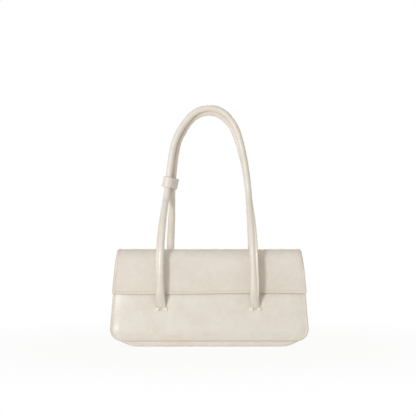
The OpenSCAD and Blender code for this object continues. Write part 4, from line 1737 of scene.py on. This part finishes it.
@dataclass
class RolledHandle:
    """A handle rolled round a filler cord, with its seam's fin and its sewn-down, flattened ends.

    Attributes:
        side: The wall it is sewn to.
        shares: Its centre line from the left end to the right: shares of half_w across, of rise up,
            and of the way from the pair out to the bulge.
        fin_turn: Angle of the fin round the handle at the left end, the top and the right end; 180
            degrees is outwards from the loop, and more turns it to the front.
        fin_h: Height of the fin near the left end and near the right end.
        fin_turn_shares: Shares of the run at which the fin has those angles.
    """

    side: Side
    shares: Shares
    fin_turn: Triple = (178.0, 182.0, 212.0)
    fin_h: Pair = (1.6, 3.0)
    fin_turn_shares: Triple = (0.08, 0.5, 0.86)
    half_w: float = 66.0
    end_z: float = 53.5
    rise: float = 284.0
    diameter: float = 9.6
    slimming: float = 0.7
    splay: float = 0.7
    tab_w: float = 14.0
    tab_t: float = 4.4
    flare_l: float = 60.0
    flat_l: float = 27.0
    seat_y: float = 31.5
    bow_y: float = 50.3
    pair_y: float = 5.2
    sides: int = 30
    # The bar tacks: threads, side by side at shares of the end's half width
    tack_d: float = 1.1
    tack_drop: float = 2.6
    tack_reach: float = 0.2
    tack_shares: tuple[float, ...] = (-1.0, -0.87, -0.74, -0.61, -0.48, 0.38, 0.5, 0.62, 0.75,
                                      0.88, 1.0)
    tack_root: float = 1.2
    tack_round: float = 2.8
    tack_uneven: float = 0.35
    tack_seat_share: float = 0.62
    tack_out: float = 1.5
    tack_over: float = 0.4
    # Where the roll grows slimmer, and the gap between the mesh's rings
    slim_h: float = 120.0
    slim_run: float = 90.0
    ring_gap: float = 1.5
    # Distances of the first rings from either end
    tip_d: tuple[float, ...] = (0, 0.15, 0.4, 0.8, 1.3, 1.9, 2.6, 3.4)
    # The fin: how far it runs up from each end, its root, its thickness and its seam
    fin_l: float = 215.0
    fin_run: float = 130.0
    fin_root: float = 1.2
    fin_t: float = 0.78
    fin_in: float = 1.3
    fin_seam_d: float = 1.15
    fin_sewn_h: float = 1.1
    # The pinch beside the fin, and how the flattened ends are rounded and squared
    pinch: float = 0.075
    pinch_turn: float = 0.42
    pinch_w: float = 0.3
    end_r: float = 2.6
    end_fall: float = 0.6
    end_t_share: float = 0.55
    end_run: float = 8.0
    squaring: float = 0.9
    tab_inset: float = 2.0

    def line(self) -> Array:
        """Centre line of the handle as if on the front, evenly spaced and closer at its ends.

        Returns:
            Its points.
        """
        last = len(self.shares) - 1
        knots = []
        for i, (across, up, out) in enumerate(self.shares):
            seated = i < 2 or i > last - 2
            y = self.seat_y if seated else self.pair_y + (self.bow_y - self.pair_y) * out
            knots.append((across * self.half_w, -y, self.end_z + up * self.rise))
        knots = np.array(knots)
        points = []
        for i in range(last):
            p0, p1, p2, p3 = (knots[min(max(k, 0), last)] for k in range(i - 1, i + 3))
            t = np.linspace(0, 1, 24, endpoint=False)[:, None]
            points.append(0.5 * (2 * p1 + (p2 - p0) * t + (2 * p0 - 5 * p1 + 4 * p2 - p3) * t ** 2
                                 + (3 * p1 - p0 - 3 * p2 + p3) * t ** 3))
        fine = np.vstack(points + [knots[-1:]])
        run = run_along(fine)
        tip = np.array(self.tip_d)
        first = tip[-1] + 1
        even = np.linspace(first, run[-1] - first, round(run[-1] / self.ring_gap))
        at = np.concatenate([tip, even, (run[-1] - tip)[::-1]])
        return np.stack([np.interp(at, run, fine[:, k]) for k in range(3)], 1)

    def strand(self) -> Strand:
        """The handle's line with its section: round above, flattened towards its ends.

        Returns:
            The strand.
        """
        line = self.line()
        along = headings(line)
        inward = np.cross(np.array([0, 1.0, 0]), along)
        inward /= np.linalg.norm(inward, axis=1)[:, None]
        h = line[:, 2] - self.end_z
        slim = self.diameter / 2 - self.slimming / 2 * smooth((h - self.slim_h) / self.slim_run)
        half_w = slim * (1 + (self.tab_w / self.diameter - 1) * smooth(1 - h / self.flare_l))
        half_w = half_w + self.splay * smooth(1 - h / 5)
        half_t = slim * (1 - (1 - self.tab_t / self.diameter) * smooth(1 - h / self.flat_l))
        run = run_along(line)
        return Strand(line, inward, np.cross(along, inward), half_w, half_t, run,
                      np.minimum(run, run[-1] - run))

    def mirrored(self, points: Array) -> Array:
        """Points that were made as if on the front, put on the handle's own side.

        Args:
            points: The points, or ways.

        Returns:
            The same, mirrored if the handle is the back one.
        """
        out = points.copy()
        out[..., 1] *= -self.side.value
        return out

    def build(self) -> None:
        """Make the roll with its fin, the stitches of its ends and of its seam."""
        strand = self.strand()
        roll, roots = self.roll(strand)
        fin, seam = self.fin(strand, roots)
        shape = roll.joined(fin)
        shape.points = self.mirrored(shape.points)
        fit(make_piece(f"{self.side.word}_handle_rolled", shape, HANDLE_CALF, sharp=60),
            "handle_leather", f"{self.side.word}_handle")
        tabs = [self.tab_row(strand, end) for end in (0, 1)]
        for piece in (
                Sewing(pitch=3.1, stitch_l=2.5, thread_d=0.8).sew(
                    f"{self.side.word}_handle_tab_stitches", tabs),
                # The tacks' paler thread is painted light against the shade between its strands
                make_piece(f"{self.side.word}_handle_bar_tacks", self.bar_tacks(strand),
                           TACK_THREAD_PAINTED_LIGHT, sharp=80),
                Sewing(pitch=3.4, stitch_l=2.4, thread_d=0.5, hole_d=0.5, slant=4).sew(
                    f"{self.side.word}_handle_seam_stitches", seam)):
            fit(piece, "handle_leather")

    def turn(self, strand: Strand) -> Array:
        """Angle of the fin round the roll, point by point."""
        return np.radians(np.interp(strand.run / strand.run[-1], self.fin_turn_shares,
                                    self.fin_turn))

    def roll(self, strand: Strand) -> tuple[Shape, Array]:
        """The rolled leather, round above and squarer where it is flattened.

        Args:
            strand: The handle's line and section.

        Returns:
            Its shape, and the reach of its skin towards the fin, point by point.
        """
        turn, tip = self.turn(strand), strand.tip
        flat = smooth(1 - (strand.line[:, 2] - self.end_z) / self.flat_l)
        power = 2 + self.squaring * flat
        angle = 2 * math.pi * np.arange(self.sides) / self.sides
        c, s = np.cos(angle), np.sin(angle)
        rings, painted, roots = [], [], []
        for i in range(len(tip)):
            w = strand.half_w[i] - edge_fall(tip[i], self.end_r)
            thinned = self.end_t_share + (1 - self.end_t_share) * smooth(tip[i] / self.end_run)
            t = strand.half_t[i] * thinned - edge_fall(tip[i], self.end_fall)
            across = squared(c, 2 / power[i]) * w
            deep = squared(s, 2 / power[i]) * t
            near = np.angle(np.exp(1j * (angle - turn[i] - self.pinch_turn)))
            pinch = 1 - self.pinch * ridge(near, 0, self.pinch_w) * (1 - flat[i])
            rings.append(strand.at(i, (across * pinch)[:, None], (deep * pinch)[:, None]))
            rim = smooth((np.abs(across) / strand.half_w[i] - 0.9) / 0.08) * flat[i]
            painted.append(np.maximum(rim, float(tip[i] < 0.9)))
            cf, sf = math.cos(turn[i]), math.sin(turn[i])
            roots.append((abs(cf / w) ** power[i] + abs(sf / t) ** power[i]) ** (-1 / power[i]))
        return ring_shape(rings, caps=True, edge=painted), np.array(roots)

    def fin(self, strand: Strand, roots: Array) -> tuple[Shape, list[SeamLine]]:
        """The seam's fin, and the stitch lines where it stands high enough to be sewn.

        Args:
            strand: The handle's line and section.
            roots: Reach of the roll's skin towards the fin at each point.

        Returns:
            The fin's shape, and its stitch lines.
        """
        turn, tip = self.turn(strand), strand.tip
        share = strand.run / strand.run[-1]
        grow = smooth((self.fin_l - tip) / self.fin_run) * (0.25 + 0.75 * smooth((tip - 4) / 45))
        height = (self.fin_root + np.where(share < 0.5, *self.fin_h)) * grow - self.fin_root
        rings, painted, high, facing = [], [], [], []
        for i in np.nonzero(tip >= 1.2)[0]:
            cf, sf = math.cos(turn[i]), math.sin(turn[i])
            out = strand.inward[i] * cf + strand.back[i] * sf
            side = -strand.inward[i] * sf + strand.back[i] * cf
            top = roots[i] + height[i] * float(smooth(tip[i] / 6))
            half = [(roots[i] - self.fin_in, 1.0), (top - 0.45, 1.0), (top - 0.12, 0.7)]
            section = [(a, -part * self.fin_t) for a, part in half] + [(top, 0)]
            section += [(a, part * self.fin_t) for a, part in half[::-1]]
            rings.append(np.array([strand.line[i] + out * a + side * b for a, b in section]))
            painted.append(np.array([0, 0.35, 0.9, 1, 0.9, 0.35, 0]))
            if height[i] > self.fin_sewn_h:
                high.append(strand.line[i] + out * (top - self.fin_seam_d)
                            + side * (self.fin_t - 0.02))
                facing.append(side)
        points = self.mirrored(np.array(high))
        ways = self.mirrored(np.array(facing))
        gap = np.linalg.norm(np.diff(points, axis=0), axis=1) > 8
        cuts = [0, *(np.nonzero(gap)[0] + 1).tolist(), len(points)]
        lines = [SeamLine(points[a:b], ways[a:b]) for a, b in zip(cuts, cuts[1:]) if b - a > 4]
        return ring_shape(rings, caps=True, edge=painted), lines

    def tab_row(self, strand: Strand, end: int) -> SeamLine:
        """The row of stitches round a flattened end: down one side, across and up the other.

        Args:
            strand: The handle's line and section.
            end: 0 for the left end, 1 for the right one.

        Returns:
            The line to sew along.
        """
        last = len(strand.tip) - 1
        order = range(last // 2) if end == 0 else range(last, last // 2 + 1, -1)
        near = [i for i in order if 2.3 < strand.tip[i] < 20]
        spots = [(i, -1.0) for i in near[::-1]]
        spots += [(near[0], share) for share in np.linspace(-0.8, 0.8, 7)]
        spots += [(i, 1.0) for i in near]
        points, facing = [], []
        for i, share in spots:
            half_w = strand.half_w[i]
            across = share * (half_w - self.tab_inset)
            lift = (1 - min(abs(across) / half_w, 1) ** self.tack_round) ** (1 / self.tack_round)
            points.append(strand.at(i, across, -(strand.half_t[i] * lift + 0.02)))
            facing.append(-strand.back[i])
        return SeamLine(self.mirrored(np.array(points)), self.mirrored(np.array(facing)))

    def bar_tacks(self, strand: Strand) -> Shape:
        """Threads, side by side, from each flattened end over its edge to the wall.

        Args:
            strand: The handle's line and section.

        Returns:
            The threads of both ends as one shape.
        """
        rng = np.random.default_rng(11)
        angle = 2 * math.pi * np.arange(8) / 8
        wall_y = -BAG.half_depth - self.tack_root
        shape = None
        for end in (0, -1):
            x, y, z = strand.line[end]
            seat = strand.half_t[end + (4 if end == 0 else -4)] * self.tack_seat_share
            reach = strand.half_w[end] + self.tack_reach
            for share in self.tack_shares:
                arch = (1 - 0.8 * abs(share) ** self.tack_round) ** (1 / self.tack_round)
                top_y = wall_y + (y - seat - wall_y) * arch
                drop = self.tack_drop + rng.uniform(-self.tack_uneven, self.tack_uneven)
                turn = np.linspace(0, math.pi / 2, 9)
                low_y = wall_y + self.tack_out
                path = [(low_y + (top_y - low_y) * math.sin(t),
                         z - drop + (drop + self.tack_over) * (1 - math.cos(t))) for t in turn]
                path += [(top_y, z + 1.2), (top_y + 0.5, z + 2.0)]
                r = self.tack_d / 2
                rings = [xyz(x + share * reach + r * np.cos(angle),
                             b + r * np.sin(angle) * (-dz), c + r * np.sin(angle) * dy)
                         for (b, c), (dy, dz) in zip(path, headings(np.array(path)))]
                thread = ring_shape(rings, caps=True)
                shape = thread if shape is None else shape.joined(thread)
        shape.points = self.mirrored(shape.points)
        return shape


@dataclass
class Keeper:
    """The leather band round both left strands, its ends lapped and sewn at the back."""

    centre: Triple = (-55.266, 0.0, 231.5)
    lean: float = 0.2
    shift: float = 6.317
    pair_d: float = 10.4
    inner_r: float = 5.7
    thick: float = 2.2
    height: float = 15.0
    # The band's curled, creased and painted rims, and the angles between which its lap lies
    curl: float = 0.25
    crease: float = 0.16
    crease_z: float = 5.7
    paint_z: float = 6.9
    lap_turn: Pair = (-0.2, 1.3)

    def build(self) -> None:
        """Bend the band round the strands."""
        way = np.array([self.shift, self.pair_d])
        gap = float(np.linalg.norm(way))
        start = math.atan2(way[1], way[0])
        middle_r = self.inner_r + self.thick / 2
        spine, normal = [], []
        for end, first in ((1, start - math.pi / 2), (-1, start + math.pi / 2)):
            for a in np.linspace(first, first + math.pi, 22):
                n = np.array([math.cos(a), math.sin(a)])
                spine.append(end * way / 2 + n * middle_r)
                normal.append(n)
            straight = spine[-1]
            target = -end * way / 2 + normal[-1] * middle_r
            for share in np.linspace(0, 1, 8)[1:-1]:
                spine.append(straight + (target - straight) * share)
                normal.append(normal[-1])
        turn = 2 * math.pi * np.arange(28) / 28
        c, s = np.cos(turn), np.sin(turn)
        across = squared(c, 0.5) * self.thick / 2
        up = squared(s, 0.28) * self.height / 2
        rings, painted = [], []
        for place, n in zip(spine, normal):
            curl = self.curl * smooth((np.abs(up) - 4.5) / 3)
            crease = self.crease * ridge(np.abs(up), self.crease_z, 0.35) * (across > 0)
            out = (across + curl - crease)[:, None] * n
            rings.append(xyz(place[0] + out[:, 0], place[1] + out[:, 1], up))
            painted.append(smooth((np.abs(up) - self.paint_z) / 0.4))
        shape = ring_shape(rings, closed=True, edge=painted)
        shape = shape.joined(self.lap(way / 2, start, middle_r))
        norm = math.hypot(1, self.lean)
        sin, cos = self.lean / norm, 1 / norm
        x, y, z = shape.points.T
        shape.points = xyz(x * cos + z * sin, y, z * cos - x * sin) + np.array(self.centre)
        fit(make_piece("keeper_band", shape, BODY_CALF, sharp=60), "handle_leather", "keeper",
            body="keeper")

    def lap(self, centre: Array, start: float, middle_r: float) -> Shape:
        """The lapped end of the band, a thin second layer round the back strand.

        Args:
            centre: The back strand's middle, in X and Y.
            start: Angle at which the lap starts.
            middle_r: Radius of the band's middle.

        Returns:
            The layer.
        """
        rings, painted = [], []
        turn = 2 * math.pi * np.arange(20) / 20
        c, s = np.cos(turn), np.sin(turn)
        first, last = (start + turned for turned in self.lap_turn)
        for a in np.linspace(first, last, 16):
            n = np.array([math.cos(a), math.sin(a)])
            ease = float(smooth((a - first) / 0.2) * smooth((last - a) / 0.1))
            r = middle_r + self.thick / 2 - 0.3 + (0.25 + 0.45 * ease) * (1 + squared(c, 0.4))
            up = squared(s, 0.3) * (self.height / 2 - 0.2)
            rings.append(xyz(centre[0] + r * n[0], centre[1] + r * n[1], up))
            painted.append(smooth((np.abs(up) - self.paint_z + 0.2) / 0.4))
        return ring_shape(rings, caps=True, edge=painted)


# ---- What stays as the CAD made it


@dataclass
class Core:
    """Rigid and hidden CAD pieces, which keep their shape and get their finish."""

    steel: tuple[str, ...] = ("body_magnet", "body_magnet_washer", "flap_magnet",
                              "flap_magnet_washer")
    board: tuple[str, ...] = ("front_board", "back_board", "base_board", "flap_front_board",
                              "front_anchor_patches", "back_anchor_patches")
    cord: tuple[str, ...] = ("front_handle_core", "back_handle_core")

    def build(self) -> None:
        """Dress each piece."""
        for names, finish in ((self.steel, STEEL), (self.board, BOARD), (self.cord, CORD)):
            for name in names:
                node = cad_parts[name]
                node.data.materials.clear()
                node.data.materials.append(finish.material())
                LOG.info("%s: CAD piece, %s", name, finish.name)


# ---- Floor, light and camera


@dataclass
class Studio:
    """Pale floor, white surround, one soft key light from the upper left, and the camera."""

    photo_px: int = 416
    px_mm: float = 1.4
    distance: float = 2.0
    camera_x: float = -0.0018
    camera_z: float = 0.1956
    flap_y: float = -0.0365
    floor_r: float = 1.3
    floor_white: float = 0.9
    world_light: float = 0.6
    key_power: float = 25.0
    back_power: float = 21.0
    back_size: float = 1.6
    back_from: Triple = (0.15, 1.0, 0.25)
    key_size: float = 0.55
    key_from: Triple = (-0.58, -1.0, 0.045)
    key_distance: float = 2.3
    # Colours of the lamps, what they aim at, and where the floor's shade fades out
    key_colour: Triple = (0.975, 1.0, 1.03)
    fill_colour: tuple[float, float, float, float] = (1.0, 0.965, 0.92, 1)
    aim_z: float = 0.11
    fade_from: float = 0.15
    fade_to: float = 0.6

    def build(self) -> None:
        """Set up the whole stage."""
        self.build_floor()
        self.build_world()
        self.build_lights()
        self.build_camera()

    def build_floor(self) -> None:
        """A pale floor that the camera sees nearly white, with the object's soft shadow on it."""
        mesh = bpy.data.meshes.new("floor")
        turn = np.linspace(0, 2 * math.pi, 96, endpoint=False)
        rim = np.stack([self.floor_r * np.cos(turn), self.floor_r * np.sin(turn), 0 * turn], 1)
        mesh.from_pydata(rim.tolist(), [], [tuple(range(96))])
        floor = linked("floor", mesh)
        material = bpy.data.materials.new("floor_painted")
        tree = cleared(material)
        ray = add_node(tree, "ShaderNodeLightPath").outputs
        seen = worked(tree, "MAXIMUM", ray["Is Camera Ray"], ray["Is Glossy Ray"])
        matt = add_node(tree, "ShaderNodeBsdfDiffuse", {"Color": linear("FAF9F7")})
        white = add_node(tree, "ShaderNodeEmission", {"Color": (1, 1, 1, 1), "Strength": 1.0})
        place = add_node(tree, "ShaderNodeTexCoord").outputs["Object"]
        away = add_node(tree, "ShaderNodeVectorMath", {0: place}, operation="LENGTH")
        bare = add_node(tree, "ShaderNodeMapRange", {
            "Value": away.outputs["Value"], "From Min": self.fade_from, "From Max": self.fade_to,
            "To Min": self.floor_white, "To Max": 1.0}, interpolation_type="SMOOTHSTEP")
        paint = add_node(tree, "ShaderNodeMixShader", {
            0: worked(tree, "MULTIPLY", seen, bare.outputs[0]), 1: matt.outputs[0],
            2: white.outputs[0]})
        add_node(tree, "ShaderNodeOutputMaterial", {"Surface": paint.outputs[0]})
        mesh.materials.append(material)

    def build_world(self) -> None:
        """White where it is seen or mirrored, and an even fill light elsewhere."""
        world = bpy.data.worlds.new("surround")
        bpy.context.scene.world = world
        tree = cleared(world)
        ray = add_node(tree, "ShaderNodeLightPath").outputs
        through = worked(tree, "MAXIMUM", ray["Is Glossy Ray"], ray["Is Transmission Ray"])
        seen = worked(tree, "MAXIMUM", ray["Is Camera Ray"], through)
        fill = add_node(tree, "ShaderNodeBackground", {
            "Color": self.fill_colour, "Strength": self.world_light})
        white = add_node(tree, "ShaderNodeBackground", {"Color": (1, 1, 1, 1), "Strength": 1.0})
        light = add_node(tree, "ShaderNodeMixShader", {
            0: seen, 1: fill.outputs[0], 2: white.outputs[0]})
        add_node(tree, "ShaderNodeOutputWorld", {"Surface": light.outputs[0]})

    def build_lights(self) -> None:
        """A key light, small enough to give shadows an edge, and a broad back light."""
        for name, power, size, way, colour in (
                ("key", self.key_power, self.key_size, self.key_from, self.key_colour),
                ("back", self.back_power, self.back_size, self.back_from, (1.0, 1.0, 1.0))):
            data = bpy.data.lights.new(name, "AREA")
            data.shape = "DISK"
            data.size = size
            data.energy = power
            data.color = colour
            lamp = linked(name, data)
            aim = Vector((0, 0 if name == "back" else self.flap_y, self.aim_z))
            toward = Vector(way).normalized()
            lamp.location = aim + toward * self.key_distance
            lamp.rotation_euler = (-toward).to_track_quat("-Z", "Y").to_euler()

    def build_camera(self) -> None:
        """The photograph's view: level, square to the front."""
        data = bpy.data.cameras.new("camera")
        data.sensor_width = 36.0
        data.lens = data.sensor_width * self.distance / (self.photo_px * self.px_mm * MM)
        camera = linked("camera", data)
        camera.location = (self.camera_x, self.flap_y - self.distance, self.camera_z)
        camera.rotation_euler = (math.radians(90), 0, 0)
        bpy.context.scene.camera = camera
        bpy.context.scene.view_settings.view_transform = "Standard"


def main() -> None:
    """Build the stage, then the bag from its walls to its keeper, and report each piece."""
    logging.basicConfig(level=logging.INFO, format="%(name)s: %(message)s")
    tabs = [tuple((shares[end][0] * RolledHandle.half_w, TAB_Z) for end in (0, -1))
            for shares in (FRONT_SHARES, BACK_SHARES)]
    assemblies = (
        Studio(),
        Core(),
        Wall(Side.FRONT, 126.0, tabs[0]),
        Wall(Side.BACK, 132.0, tabs[1], covered=(0.9, 88.0)),
        Gusset(),
        SlipPocket(),
        Flap(),
        RolledHandle(Side.FRONT, FRONT_SHARES),
        RolledHandle(Side.BACK, BACK_SHARES, fin_turn=(182.0, 180.0, 178.0), fin_h=(1.5, 1.5)),
        Keeper(),
    )
    for assembly in assemblies:
        LOG.info("building %s", type(assembly).__name__)
        assembly.build()


if __name__ == "__main__":
    main()
